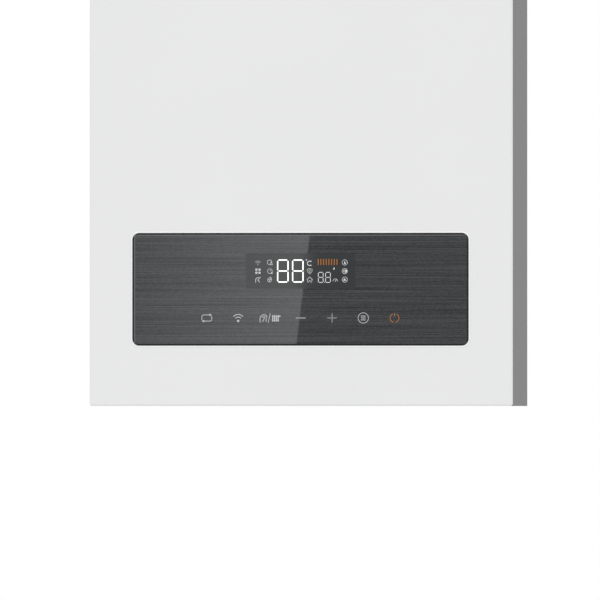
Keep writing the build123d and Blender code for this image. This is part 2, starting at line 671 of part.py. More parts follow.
def chamber_box():
    """Five-sided sheet box with a fold round its open front and tabs to the side panels."""
    x = chamber_half
    box = block(-x, x, chamber_front, chamber_rear, CHAMBER_BOTTOM, roof)
    inner = x - SHEET
    rear = chamber_rear - SHEET
    box -= block(-inner, inner, chamber_front + SHEET, rear, chamber_floor, roof - SHEET)
    mouth = x - CHAMBER_FOLD
    low, high = CHAMBER_BOTTOM + CHAMBER_FOLD, roof - CHAMBER_FOLD
    box -= block(-mouth, mouth, chamber_front - 1, chamber_front + 2 * SHEET, low, high)
    for z in TAB_STATIONS:
        for y in (chamber_front + TAB_FRONT, chamber_rear - TAB_REAR - TAB_WIDTH):
            for side in (-1, 1):
                x0, x1 = sorted((side * x, side * inner_half))
                box += block(x0, x1, y, y + TAB_WIDTH, z, z + TAB_THICKNESS)
    box -= rod(0, flue_y, roof - 2 * SHEET, "+z", flue_hole, 3 * SHEET)
    for hx, hy in flue_bolt_places():
        box -= rod(hx, hy, roof - 2 * SHEET, "+z", FLUE_BOLT_RADIUS + SLIP, 3 * SHEET)
    through = 3 * SHEET
    floor = CHAMBER_BOTTOM - SHEET
    stations = tube_stations()
    box -= rod(riser_x, stations[0], floor, "+z", PIPE_RADIUS + SLIP, through)
    box -= rod(-riser_x, stations[-1], floor, "+z", PIPE_RADIUS + SLIP, through)
    box -= rod(gas_feed_x, gas_feed_y, floor, "+z", GAS_PIPE_RADIUS + SLIP, through)
    for sx, sz in lid_screw_places():
        box -= rod(sx, chamber_front - 1, sz, "+y", SCREW_RADIUS + APART, 3 * SHEET)
    return box


def chamber_lid():
    """Pressed lid of the burner chamber, with a stiffening rim and the sight hole."""
    lid = block(-lid_half, lid_half, lid_front, lid_rear, lid_low, lid_high)
    rim = block(-lid_half, lid_half, lid_front - LID_RIM, lid_front, lid_low, lid_high)
    inner = lid_half - SHEET
    rim -= block(
        -inner, inner, lid_front - LID_RIM - 1, lid_front + 1, lid_low + SHEET, lid_high - SHEET
    )
    lid += rim
    lid -= rod(0, lid_rear + 1, SIGHT_Z, "-y", SIGHT_RADIUS, 3 * SHEET)
    for x, z in lid_screw_places():
        lid -= rod(x, lid_rear + 1, z, "-y", SCREW_RADIUS + SLIP, 3 * SHEET)
    return lid


def lid_gasket():
    x, inner = lid_half, chamber_half - CHAMBER_FOLD
    seal = block(-x, x, lid_rear, gasket_rear, lid_low, lid_high)
    low, high = CHAMBER_BOTTOM + CHAMBER_FOLD, roof - CHAMBER_FOLD
    seal -= block(-inner, inner, lid_rear - 1, gasket_rear + 1, low, high)
    for sx, sz in lid_screw_places():
        seal -= rod(sx, gasket_rear + 1, sz, "-y", SCREW_RADIUS + SLIP, GASKET + 2)
    return seal


def lid_screws():
    return group([screw(x, lid_front, z, "+y", LID_SCREW_SHANK) for x, z in lid_screw_places()])


def sight_glass():
    """Round sight glass and the ring that clamps it to the lid."""
    glass = rod(0, lid_front, SIGHT_Z, "-y", SIGHT_RADIUS + SIGHT_LEDGE, SIGHT_GLASS)
    ring_front = SIGHT_GLASS + SIGHT_RING_COVER
    ring = rod(0, lid_front, SIGHT_Z, "-y", SIGHT_FRAME, ring_front)
    ring -= rod(0, lid_front, SIGHT_Z, "-y", SIGHT_RADIUS, ring_front)
    ring -= rod(0, lid_front, SIGHT_Z, "-y", SIGHT_RADIUS + SIGHT_LEDGE + SLIP, SIGHT_GLASS)
    return group([glass, ring])


# ---------------------------------------------------------------- burner and heat exchanger
BURNER_SIDE = 58.0  # chamber's sides to the burner
BURNER_BEHIND = 8.0  # burner to the chamber's back
BURNER_SETBACK = 18.0  # chamber's front to the burner
BURNER_FOOT = 6.0
BURNER_HEIGHT = 48.0
BURNER_WALL = 2.0
RAMP_COUNT = 14
RAMP_MARGIN = 5.0  # burner's side to the first blade's half of a pitch
RAMP_WIDTH = 11.0
RAMP_TOP_GAP = 3.0
RAMP_MIXER_HEIGHT = 26.0
RAMP_NECK = 5.0
RAMP_HEAD_WIDTH = 9.0
RAMP_HEAD_HEIGHT = 10.0
RAMP_SLOT_COUNT = 9
RAMP_SLOT_WIDTH = 2.4
RAMP_SLOT_DEPTH = 5.0
VENTURI_SHARE = 0.7  # of the burner's depth
VENTURI_ABOVE_FOOT = 13.0
VENTURI_LIP = 0.5
VENTURI_RADIUS = 5.0
MANIFOLD_DEPTH = 11.0
MANIFOLD_HEIGHT = 14.0
MANIFOLD_WALL = 2.0
MANIFOLD_INSET = 4.0  # shorter than the burner at each end
INJECTOR_LENGTH = 3.5
INJECTOR_RADIUS = 2.5
INJECTOR_FLATS = 7.0
INJECTOR_GAP = 1.0  # injectors to the burner frame
SHELL_HEIGHT = 131.0
BOARD_THICKNESS = 12.0
FIN_COUNT = 38
FIN_THICKNESS = 1.2
FIN_MARGIN = 23.3  # heat exchanger's sides to the end fins
CORE_HEIGHT = 56.0
FIN_INSET = 1.0  # fins to the core frame's outside
FIN_EDGE = 4.0  # fins below the core frame's top and above its foot
CORE_WALL = 1.5
TUBE_COUNT = 5
BEND_GAP = 0.1  # half the straight piece between a return bend's two quarters
TUBE_MARGIN = 18.0  # heat exchanger's front and rear to the end tubes
TUBE_CLEAR = 2.0  # heat exchanger's side to the start of its return bends
NUT_ZONE = 76.0  # heat exchanger's ends below its tubes

burner_half = chamber_half - BURNER_SIDE
burner_rear = chamber_rear - BURNER_BEHIND
burner_front = chamber_front + BURNER_SETBACK
burner_depth = burner_rear - burner_front
ramp_pitch = 2 * (burner_half - RAMP_MARGIN) / RAMP_COUNT
fin_pitch = 2 * (burner_half - FIN_MARGIN) / (FIN_COUNT - 1)
tube_pitch = (burner_depth - 2 * TUBE_MARGIN) / (TUBE_COUNT - 1)
burner_low = chamber_floor + BURNER_FOOT
burner_top = burner_low + BURNER_HEIGHT
shell_top = burner_top + SHELL_HEIGHT
venturi_z = burner_low + VENTURI_ABOVE_FOOT
injector_rear = burner_front - INJECTOR_GAP
manifold_rear = injector_rear - INJECTOR_LENGTH
manifold_low = venturi_z - MANIFOLD_HEIGHT / 2
core_low = shell_top
core_top = core_low + CORE_HEIGHT
tube_z = (core_low + core_top) / 2
tube_bend = tube_pitch / 2 - BEND_GAP
tube_loop = burner_half + TUBE_CLEAR + tube_bend
riser_top = tube_z - NUT_ZONE


def ramp_x():
    first = -ramp_pitch * (RAMP_COUNT - 1) / 2
    return [first + ramp_pitch * k for k in range(RAMP_COUNT)]


def burner_frame():
    x = burner_half
    frame = block(-x, x, burner_front, burner_rear, burner_low, burner_top)
    w = BURNER_WALL
    frame -= block(
        w - x, x - w, burner_front + w, burner_rear - w, burner_low - 1, burner_top + 1
    )
    for side in (-1, 1):
        x0, x1 = sorted((side * x, side * (x - w)))
        frame += block(x0, x1, burner_front, burner_rear, chamber_floor, burner_low)
    for rx in ramp_x():
        frame -= rod(rx, burner_front - 1, venturi_z, "+y", VENTURI_RADIUS, w + 2)
    return frame


def burner_ramps():
    """Row of slotted burner blades between the frame's front and rear walls."""
    y0, y1 = burner_front + BURNER_WALL, burner_rear - BURNER_WALL
    top = burner_top - RAMP_TOP_GAP
    mixer_top, head_low = burner_low + RAMP_MIXER_HEIGHT, top - RAMP_HEAD_HEIGHT
    step = (y1 - y0) / RAMP_SLOT_COUNT
    pieces = []
    for x in ramp_x():

        def layer(width, low, high):
            return block(x - width / 2, x + width / 2, y0, y1, low, high)

        blade = layer(RAMP_WIDTH, burner_low, mixer_top)
        blade += layer(RAMP_NECK, mixer_top, head_low)
        blade += layer(RAMP_HEAD_WIDTH, head_low, top)
        venturi = VENTURI_RADIUS - VENTURI_LIP
        blade -= rod(x, y0 - 1, venturi_z, "+y", venturi, burner_depth * VENTURI_SHARE)
        for k in range(RAMP_SLOT_COUNT):
            slot = y0 + step * (k + 0.5) - RAMP_SLOT_WIDTH / 2
            x0, x1 = x - RAMP_WIDTH / 2, x + RAMP_WIDTH / 2
            blade -= block(x0, x1, slot, slot + RAMP_SLOT_WIDTH, top - RAMP_SLOT_DEPTH, top + 1)
        pieces.append(blade)
    return group(pieces)


def gas_manifold():
    """Square gas rail with one injector for each burner blade."""
    half = burner_half - MANIFOLD_INSET
    front, rear = manifold_rear - MANIFOLD_DEPTH, manifold_rear
    low, high = manifold_low, manifold_low + MANIFOLD_HEIGHT
    w = MANIFOLD_WALL
    rail = block(-half, half, front, rear, low, high)
    rail -= block(w - half, half - w, front + w, rear - w, low + w, high - w)
    rail -= rod(gas_feed_x, gas_feed_y, low - w, "+z", GAS_PIPE_RADIUS - PIPE_WALL, 3 * w)
    pieces = [rail]
    for x in ramp_x():
        nozzle = hexagon(x, rear, venturi_z, "+y", INJECTOR_FLATS, INJECTOR_LENGTH * 0.6)
        nozzle += rod(x, rear, venturi_z, "+y", INJECTOR_RADIUS, INJECTOR_LENGTH)
        pieces.append(nozzle)
    return group(pieces)


ELECTRODE_X = (-52.0, -40.0, 44.0)
ELECTRODE_RADIUS = 4.0
ELECTRODE_ABOVE_BURNER = 12.0
ELECTRODE_REACH = 12.0  # in front of the combustion shell
SLEEVE_LENGTH = 30.0
PIN_RADIUS = 1.2
PIN_LENGTH = 26.0

electrode_z = burner_top + ELECTRODE_ABOVE_BURNER


def less_electrodes(shape):
    """Shape with the electrodes' holes through its front."""
    for x in ELECTRODE_X:
        radius, length = ELECTRODE_RADIUS + SLIP, BOARD_THICKNESS + SHEET + 3
        shape -= rod(x, burner_front - 1, electrode_z, "+y", radius, length)
    return shape


def combustion_shell():
    x = burner_half
    shell = block(-x, x, burner_front, burner_rear, burner_top, shell_top)
    inner = x - SHEET
    shell -= block(
        -inner, inner, burner_front + SHEET, burner_rear - SHEET, burner_top - 1, shell_top + 1
    )
    return less_electrodes(shell - rod(0, burner_front - 1, SIGHT_Z, "+y", SIGHT_RADIUS, SHEET + 2))


def insulation_boards():
    """Ceramic fibre boards that line the combustion shell."""
    x = burner_half - SHEET
    y0, y1 = burner_front + SHEET, burner_rear - SHEET
    t = BOARD_THICKNESS
    front = block(-x, x, y0, y0 + t, burner_top, shell_top)
    front -= rod(0, y0 - 1, SIGHT_Z, "+y", SIGHT_RADIUS - SIGHT_LEDGE, t + 2)
    rear = block(-x, x, y1 - t, y1, burner_top, shell_top)
    left = block(-x, t - x, y0 + t, y1 - t, burner_top, shell_top)
    right = block(x - t, x, y0 + t, y1 - t, burner_top, shell_top)
    return group([less_electrodes(front), rear, left, right])


def tube_stations():
    middle = (burner_front + burner_rear) / 2
    first = middle + tube_pitch * (TUBE_COUNT - 1) / 2
    return [first - tube_pitch * k for k in range(TUBE_COUNT)]


def heat_exchanger_core():
    """Copper fin pack in a frame that stands on the combustion shell."""
    half = burner_half
    wall = CORE_WALL
    core = block(-half, half, burner_front, burner_rear, core_low, core_top)
    core -= block(
        wall - half, half - wall, burner_front + wall, burner_rear - wall, core_low - 1, core_top + 1
    )
    first = -fin_pitch * (FIN_COUNT - 1) / 2
    for k in range(FIN_COUNT):
        x = first + fin_pitch * k - FIN_THICKNESS / 2
        y0, y1 = burner_front + FIN_INSET, burner_rear - FIN_INSET
        core += block(x, x + FIN_THICKNESS, y0, y1, core_low + FIN_EDGE, core_top - FIN_EDGE)
    for y in tube_stations():
        core -= rod(-half - 1, y, tube_z, "+x", PIPE_RADIUS + SLIP, 2 * half + 2)
    return core


def heat_exchanger_tubes():
    """One serpentine pipe through the fins, with both ends turned down."""
    stations = tube_stations()
    points = [(riser_x, stations[0], riser_top), (riser_x, stations[0], tube_z)]
    side = -1
    for y, following in zip(stations, stations[1:]):
        points += [(side * tube_loop, y, tube_z), (side * tube_loop, following, tube_z)]
        side = -side
    points += [(-riser_x, stations[-1], tube_z), (-riser_x, stations[-1], riser_top)]
    return pipe(points, PIPE_RADIUS, PIPE_RADIUS - PIPE_WALL, tube_bend)


def spark_electrodes():
    """Two ignition pins and a flame pin, in ceramic sleeves through the shell's front."""
    pieces = []
    front = burner_front - ELECTRODE_REACH
    for x in ELECTRODE_X:
        pieces.append(rod(x, front, electrode_z, "+y", ELECTRODE_RADIUS, SLEEVE_LENGTH))
        pieces.append(rod(x, front + SLEEVE_LENGTH, electrode_z, "+y", PIN_RADIUS, PIN_LENGTH))
    return group(pieces)


# ---------------------------------------------------------------- exhaust fan
HOOD_LOWER = 15.0
HOOD_SLOPE = 54.0
FAN_X = -26.0
FAN_Z_ABOVE_HOOD = 52.0
FAN_RADIUS = 50.0
FAN_WALL = 1.5
FAN_DEPTH = 52.0
FAN_INLET = 30.0
IMPELLER_RADIUS = 42.0
IMPELLER_DEPTH = 30.0
BLADE_COUNT = 20
BLADE = 1.4
BLADE_LENGTH = 8.0
BLADE_OFFSET = 4.0  # blades beside the wheel's radius, which slants them
WHEEL_DISC = 2.0
WHEEL_RING = 1.5
WHEEL_BEHIND_INLET = 10.0
FAN_HUB = 9.0
FAN_HUB_SETBACK = 6.0  # hub behind the wheel's rear ring
SHAFT_RADIUS = 4.0
SHAFT_HOLE = 5.0
MOTOR_HALF = 30.0  # mounting plate
MOTOR_PLATE = 4.0
STACK_HALF = 24.0
STACK_HALF_HEIGHT = 26.0
STACK_FRONT = 30.0
BRIDGE_HALF_HEIGHT = 8.0
MOTOR_DEPTH = 44.0
MOTOR_SETBACK = 26.0  # chamber's front to the motor
BEARING_COVER = 6.0  # in front of the motor's bore
SHAFT_END_GAP = 2.0
HOOD_BOX_HALF = 60.0

hood_shoulder = core_top + HOOD_LOWER
hood_top = hood_shoulder + HOOD_SLOPE
fan_front = chamber_front + MOTOR_SETBACK + MOTOR_DEPTH
fan_rear = fan_front + FAN_DEPTH
fan_z = hood_top + FAN_Z_ABOVE_HOOD
hood_box_top = fan_z + FAN_RADIUS
NIPPLE_RADIUS = 2.5
NIPPLE_REACH = 12.0
NIPPLE_ROOT = 9.0  # nipple's start inside the round scroll
SCROLL_NIPPLE_DROP = 20.0  # below the fan's axis
OUTLET_NIPPLE_RISE = 50.0  # above the fan's axis
scroll_side = FAN_X + FAN_RADIUS - NIPPLE_ROOT
scroll_nipple_x = scroll_side + NIPPLE_REACH + NIPPLE_ROOT / 2
scroll_nipple_z = fan_z - SCROLL_NIPPLE_DROP
outlet_nipple_x = OUTLET_RADIUS + NIPPLE_REACH
outlet_nipple_z = fan_z + OUTLET_NIPPLE_RISE


def flue_hood():
    """Sheet hood over the heat exchanger that rises behind the fan."""

    def profile(inset):
        y0, y1 = burner_front + inset, burner_rear - inset
        wall = fan_rear + inset
        points = [
            (y0, core_top),
            (y0, hood_shoulder - inset),
            (wall, hood_top - inset),
            (wall, hood_box_top - inset),
            (y1, hood_box_top - inset),
            (y1, core_top),
        ]
        return [(0, y, z) for y, z in points]

    def body(inset, bottom):
        outline = make_face(Polyline(*profile(inset), close=True))
        lower_half, upper_half = burner_half - inset, HOOD_BOX_HALF - inset
        whole = extrude(outline, amount=lower_half, dir=(1, 0, 0), both=True)
        keep = block(-lower_half, lower_half, burner_front, burner_rear, bottom, hood_top - inset)
        column = block(
            FAN_X - upper_half, FAN_X + upper_half, fan_rear + inset, burner_rear, bottom, hood_box_top
        )
        return whole & (keep + column)

    hood = body(0, core_top) - body(SHEET, core_top)
    return hood - rod(FAN_X, fan_rear - 1, fan_z, "+y", FAN_INLET, SHEET + 2)


def fan_housing():
    """Scroll, and the outlet pipe that stands on it and reaches up into the flue collar."""
    whole = rod(FAN_X, fan_rear, fan_z, "-y", FAN_RADIUS, FAN_DEPTH)
    rise = CASE_HEIGHT + OUTLET_RISE - fan_z
    passage = rod(0, flue_y, fan_z, "+z", OUTLET_RADIUS - FAN_WALL, rise + 1)
    outlet = rod(0, flue_y, fan_z, "+z", OUTLET_RADIUS, rise)
    side = OUTLET_RADIUS - FAN_WALL
    outlet += rod(side, flue_y, outlet_nipple_z, "+x", NIPPLE_RADIUS, outlet_nipple_x - side)
    outlet -= whole + passage
    side = scroll_side
    scroll = whole + rod(side, flue_y, scroll_nipple_z, "+x", NIPPLE_RADIUS, scroll_nipple_x - side)
    inner = FAN_RADIUS - FAN_WALL
    scroll -= rod(FAN_X, fan_rear - FAN_WALL, fan_z, "-y", inner, FAN_DEPTH - 2 * FAN_WALL)
    scroll -= passage
    scroll -= rod(FAN_X, fan_rear + 1, fan_z, "-y", FAN_INLET, FAN_WALL + 2)
    scroll -= rod(FAN_X, fan_front + FAN_WALL + 1, fan_z, "-y", SHAFT_HOLE, FAN_WALL + 2)
    return group([scroll, outlet])


def fan_motor():
    """Shaded-pole motor: laminated frame, coil and rear bearing bridge."""
    y = fan_front

    def layer(half, half_height, y0, y1):
        return block(FAN_X - half, FAN_X + half, y0, y1, fan_z - half_height, fan_z + half_height)

    motor = layer(MOTOR_HALF, MOTOR_HALF, y - MOTOR_PLATE, y)
    motor += layer(STACK_HALF, STACK_HALF_HEIGHT, y - STACK_FRONT, y - MOTOR_PLATE)
    motor += layer(STACK_HALF, BRIDGE_HALF_HEIGHT, y - MOTOR_DEPTH, y - STACK_FRONT)
    return motor - rod(FAN_X, y + 1, fan_z, "-y", SHAFT_RADIUS + SLIP, MOTOR_DEPTH - BEARING_COVER + 1)


def fan_impeller():
    """Drum impeller with its shaft into the motor."""
    rear = fan_rear - WHEEL_BEHIND_INLET
    front = rear - IMPELLER_DEPTH
    disc_rear = front + WHEEL_DISC
    inner, outer = IMPELLER_RADIUS - BLADE_LENGTH, IMPELLER_RADIUS - ROOT
    wheel = rod(FAN_X, disc_rear, fan_z, "-y", IMPELLER_RADIUS, WHEEL_DISC)
    wheel += tube(FAN_X, rear, fan_z, "-y", IMPELLER_RADIUS, inner, WHEEL_RING)
    hub_rear = rear - FAN_HUB_SETBACK
    wheel += rod(FAN_X, hub_rear, fan_z, "-y", FAN_HUB, hub_rear - front)
    blade = block(inner, outer, disc_rear - ROOT, rear - WHEEL_RING + ROOT, -BLADE / 2, BLADE / 2)
    for k in range(BLADE_COUNT):
        turn = Rot(0, 360 * k / BLADE_COUNT, 0)
        wheel += Pos(FAN_X, 0, fan_z) * turn * Pos(0, 0, BLADE_OFFSET) * blade
    shaft_rear = front + 2 * WHEEL_DISC
    shaft_front = fan_front - MOTOR_DEPTH + BEARING_COVER + SHAFT_END_GAP
    return wheel + rod(FAN_X, shaft_rear, fan_z, "-y", SHAFT_RADIUS, shaft_rear - shaft_front)


SWITCH_RADIUS = 32.0
SWITCH_DEPTH = 22.0
SWITCH_CAP_RADIUS = 24.0
SWITCH_ABOVE_FAN = 8.0
SWITCH_NIPPLE_OFFSET = 10.0
AIR_TUBE_RUN = 50.0  # straight run out of the switch
AIR_TUBE_ENTRY = 42.0  # straight run into the fan's nipples
AIR_TUBE_RADIUS = 4.0
AIR_TUBE_BORE = 2.0
AIR_TUBE_BEND = 15.0


def pressure_switch():
    """Air pressure switch on the chamber's right wall and its two silicone tubes."""
    wall = chamber_half - SHEET
    z = fan_z + SWITCH_ABOVE_FAN
    body = rod(wall, flue_y, z, "-x", SWITCH_RADIUS, SWITCH_DEPTH / 2)
    body += rod(wall, flue_y, z, "-x", SWITCH_CAP_RADIUS, SWITCH_DEPTH)
    nozzle = wall - SWITCH_DEPTH - NIPPLE_REACH
    tubes = []
    for start_z, end_x, end_z in (
        (z - SWITCH_NIPPLE_OFFSET, scroll_nipple_x, scroll_nipple_z),
        (z + SWITCH_NIPPLE_OFFSET, outlet_nipple_x, outlet_nipple_z),
    ):
        body += rod(wall - SWITCH_DEPTH + 1, flue_y, start_z, "-x", NIPPLE_RADIUS, NIPPLE_REACH + 1)
        points = [
            (nozzle, flue_y, start_z),
            (nozzle - AIR_TUBE_RUN, flue_y, start_z),
            (end_x + AIR_TUBE_ENTRY, flue_y, end_z),
            (end_x, flue_y, end_z),
        ]
        tubes.append(pipe(points, AIR_TUBE_RADIUS, AIR_TUBE_BORE, AIR_TUBE_BEND))
    return group([body] + tubes)


# ---------------------------------------------------------------- expansion vessel
PORT_RADIUS = 8.0
PORT_DROP = 14.0
PORT_WALL = 3.0
SEAM_REACH = 4.0  # rolled seam outside and inside the vessel's wall
SEAM_HEIGHT = 4.0
FILL_VALVE_RADIUS = 5.0
FILL_VALVE_LENGTH = 18.0

vessel_port_z = VESSEL_Z - VESSEL_RADIUS - PORT_DROP


def expansion_vessel():
    """Flat round vessel with a rolled seam, a filling valve on top and a port below."""

    def pan(shrink):
        radius, depth = VESSEL_RADIUS - shrink, VESSEL_DEPTH - 2 * shrink
        body = rod(0, vessel_rear - shrink, VESSEL_Z, "-y", radius, depth)
        return fillet(body.edges(), VESSEL_SHOULDER - shrink)

    low, high = VESSEL_Z - VESSEL_RADIUS, VESSEL_Z + VESSEL_RADIUS
    seam_rear = vessel_mid + SEAM_HEIGHT / 2
    seam_outer, seam_inner = VESSEL_RADIUS + SEAM_REACH, VESSEL_RADIUS - SEAM_REACH
    vessel = pan(0)
    vessel += tube(0, seam_rear, VESSEL_Z, "-y", seam_outer, seam_inner, SEAM_HEIGHT)
    vessel += rod(0, vessel_mid, low + SEAM_REACH, "-z", PORT_RADIUS, PORT_DROP + SEAM_REACH)
    vessel += rod(0, vessel_mid, high, "+z", FILL_VALVE_RADIUS, FILL_VALVE_LENGTH)
    vessel -= pan(VESSEL_WALL)
    bore = PORT_RADIUS - PORT_WALL
    return vessel - rod(0, vessel_mid, low + 2 * SEAM_REACH, "-z", bore, PORT_DROP + 3 * SEAM_REACH)


# ---------------------------------------------------------------- pump and water circuit
PUMP_Z = 135.0
PUMP_RADIUS = 48.0
PUMP_FROM_WALL = 85.0
PUMP_DEPTH = 65.0
PUMP_MOTOR_RADIUS = 42.0
PUMP_MOTOR_LENGTH = 66.0
VOLUTE_WALL = 5.0
ROTOR_RADIUS = 18.0
PUMP_SHAFT = 5.0
PUMP_BEARING = 4.0
VOLUTE_BACK = 20.0  # rear end of the passage to the motor's can, behind the front face
SUCTION_RADIUS = 18.0
SUCTION_BORE = 12.0
DISCHARGE_RADIUS = 15.0
DISCHARGE_BORE = 8.0
DISCHARGE_RISE = 6.0  # above the volute
DISCHARGE_BEHIND = 12.0  # in front of the pipe ends
RIB_COUNT = 5
RIB_PITCH = 9.0
RIB_WIDTH = 3.0
RIB_HEIGHT = 2.0
RIB_FIRST = 10.0  # behind the motor's mounting face
END_CAP_RADIUS = 9.0
END_CAP = 4.0
TERMINAL_BOX_REACH = 16.0  # outside the motor
TERMINAL_BOX_SEAT = 6.0  # inside the motor's outline
TERMINAL_BOX_SETBACK = 10.0
TERMINAL_BOX_BELOW = 20.0
TERMINAL_BOX_ABOVE = 24.0
VENT_X = 100.0
VENT_RADIUS = 14.0
VENT_BOSS = 11.0
VENT_BOSS_RISE = 15.0  # foot of the boss above the pump's axis
VENT_DRILLING = 4.0
VENT_RISE = 45.0  # vent's seat above the pump's axis
VENT_HEIGHT = 46.0
VENT_NIPPLE = 5.0
VENT_NIPPLE_HEIGHT = 8.0
VENT_CAP_RADIUS = 8.0
VENT_CAP_HEIGHT = 10.0
VENT_CAP_OVERLAP = 6.0
VENT_CAP_FLUTES = 10
FLUTE_SHARE = 0.16  # radius of a knob's grip flute, as a share of the knob's
FLUTE_PLACE = 1.05  # flute's middle from the knob's axis, as a share of its radius
CAN_WALL = 3.0
CAN_GAP = 1.5
CAN_FRONT = 11.0  # motor's front face to the can
SHAFT_SEAT = 1.0  # shaft's ends inside the wheel and the rotor
WHEEL_PLATE = 3.0
WHEEL_BLADE = 2.0
WHEEL_BLADE_DEPTH = 10.0
WHEEL_FRONT_GAP = 12.0  # volute's front wall to the wheel
BEARING_LENGTH = 6.0
WHEEL_RADIUS = 30.0
WHEEL_HUB = 11.0
WHEEL_HUB_DEPTH = 13.0
WHEEL_BLADES = 6
BLOCK_LOW = 60.0  # underside of the valve blocks
BLOCK_HEIGHT = 26.0
HOSE_RADIUS = 6.0
HOSE_WALL = 2.0
HOSE_DROP = 60.0  # straight run under the vessel's port
HOSE_RISE = 65.0  # straight run down behind the pump
HOSE_NIPPLE = 14.0  # pump's rear to the hose's end
HOSE_BEND = 25.0
HOSE_STATION = 40.0  # wall to the hose behind the pump
HOSE_ABOVE_PUMP_AXIS = 15.0

pump_x = STUB_X["heating_return"]
pump_rear = -PUMP_FROM_WALL
pump_front = pump_rear - PUMP_DEPTH
pump_port_y = stub_y - DISCHARGE_BEHIND
vent_base = PUMP_Z + VENT_RISE
pump_top = PUMP_Z + PUMP_RADIUS + DISCHARGE_RISE
can_rear = pump_front - CAN_WALL
can_front = pump_front - PUMP_MOTOR_LENGTH + CAN_FRONT
block_top = BLOCK_LOW + BLOCK_HEIGHT
hose_z = PUMP_Z + HOSE_ABOVE_PUMP_AXIS
hose_end_y = pump_rear + HOSE_NIPPLE


def pump_body():
    """Volute with its suction neck, discharge neck and the air vent's boss."""
    x = pump_x
    body = rod(x, pump_rear, PUMP_Z, "-y", PUMP_RADIUS, pump_rear - pump_front)
    body += rod(x, stub_y, PUMP_Z, "-z", SUCTION_RADIUS, PUMP_Z - block_top)
    body += rod(x, pump_rear - 1, hose_z, "+y", PORT_RADIUS, hose_end_y - pump_rear + 1)
    body += rod(x, pump_port_y, PUMP_Z, "+z", DISCHARGE_RADIUS, pump_top - PUMP_Z)
    boss_z = PUMP_Z + VENT_BOSS_RISE
    body += rod(VENT_X, pump_port_y, boss_z, "+z", VENT_BOSS, vent_base - boss_z)
    inner = PUMP_RADIUS - VOLUTE_WALL
    cavity = pump_rear - VOLUTE_WALL
    body -= rod(x, cavity, PUMP_Z, "-y", inner, cavity - pump_front - VOLUTE_WALL)
    body -= rod(x, pump_front + VOLUTE_BACK, PUMP_Z, "-y", ROTOR_RADIUS + CAN_GAP, VOLUTE_BACK + 1)
    body -= rod(x, stub_y, PUMP_Z, "-z", SUCTION_BORE, PUMP_Z)
    body -= rod(x, pump_port_y, PUMP_Z, "+z", DISCHARGE_BORE, pump_top - PUMP_Z + 1)
    drilling_z = boss_z + VENT_BOSS_RISE
    return body - rod(VENT_X, pump_port_y, drilling_z, "+z", VENT_DRILLING, vent_base - drilling_z + 1)


def pump_motor():
    """Canned motor with cooling ribs and its terminal box."""
    x = pump_x
    front = pump_front - PUMP_MOTOR_LENGTH
    motor = rod(x, pump_front, PUMP_Z, "-y", PUMP_MOTOR_RADIUS, PUMP_MOTOR_LENGTH)
    for k in range(RIB_COUNT):
        y = pump_front - RIB_FIRST - RIB_PITCH * k
        motor += rod(x, y, PUMP_Z, "-y", PUMP_MOTOR_RADIUS + RIB_HEIGHT, RIB_WIDTH)
    motor += rod(x, front, PUMP_Z, "-y", END_CAP_RADIUS, END_CAP)
    x0, x1 = x - PUMP_MOTOR_RADIUS - TERMINAL_BOX_REACH, x - PUMP_MOTOR_RADIUS + TERMINAL_BOX_SEAT
    y0, y1 = front + TERMINAL_BOX_SETBACK, pump_front - TERMINAL_BOX_SETBACK
    motor += block(x0, x1, y0, y1, PUMP_Z - TERMINAL_BOX_BELOW, PUMP_Z + TERMINAL_BOX_ABOVE)
    motor -= rod(x, pump_front + 1, PUMP_Z, "-y", PUMP_SHAFT + SLIP, CAN_WALL + 2)
    motor -= rod(x, can_rear, PUMP_Z, "-y", ROTOR_RADIUS + CAN_GAP, can_rear - can_front)
    return motor - rod(x, can_front + 1, PUMP_Z, "-y", PUMP_BEARING + SLIP, BEARING_LENGTH + 2)


def pump_rotor():
    """Rotor can, shaft and impeller of the pump."""
    x = pump_x
    can_length = can_rear - can_front - 2 * CAN_GAP
    rotor = rod(x, can_rear - CAN_GAP, PUMP_Z, "-y", ROTOR_RADIUS, can_length)
    bearing_y = can_front + CAN_GAP + SHAFT_SEAT
    rotor += rod(x, bearing_y, PUMP_Z, "-y", PUMP_BEARING, BEARING_LENGTH + SHAFT_SEAT)
    wheel_front = pump_front + VOLUTE_WALL + WHEEL_FRONT_GAP
    plate_rear = wheel_front + WHEEL_PLATE
    hub_rear = wheel_front + WHEEL_HUB_DEPTH
    shaft_front = can_rear - CAN_GAP - SHAFT_SEAT
    rotor += rod(x, plate_rear, PUMP_Z, "-y", PUMP_SHAFT, plate_rear - shaft_front)
    rotor += rod(x, plate_rear, PUMP_Z, "-y", WHEEL_RADIUS, WHEEL_PLATE)
    rotor += rod(x, hub_rear, PUMP_Z, "-y", WHEEL_HUB, WHEEL_HUB_DEPTH)
    inner, outer = WHEEL_HUB - SHAFT_SEAT, WHEEL_RADIUS - SHAFT_SEAT
    y0, y1 = plate_rear - SHAFT_SEAT, plate_rear + WHEEL_BLADE_DEPTH
    blade = block(inner, outer, y0, y1, -WHEEL_BLADE / 2, WHEEL_BLADE / 2)
    for k in range(WHEEL_BLADES):
        rotor += Pos(x, 0, PUMP_Z) * Rot(0, 360 * k / WHEEL_BLADES, 0) * blade
    return rotor


def air_vent():
    """Float chamber of the air vent and the nipple that its cap covers."""
    body = rod(VENT_X, pump_port_y, vent_base, "+z", VENT_RADIUS, VENT_HEIGHT - VENT_NIPPLE_HEIGHT)
    return body + rod(VENT_X, pump_port_y, vent_base, "+z", VENT_NIPPLE, VENT_HEIGHT)


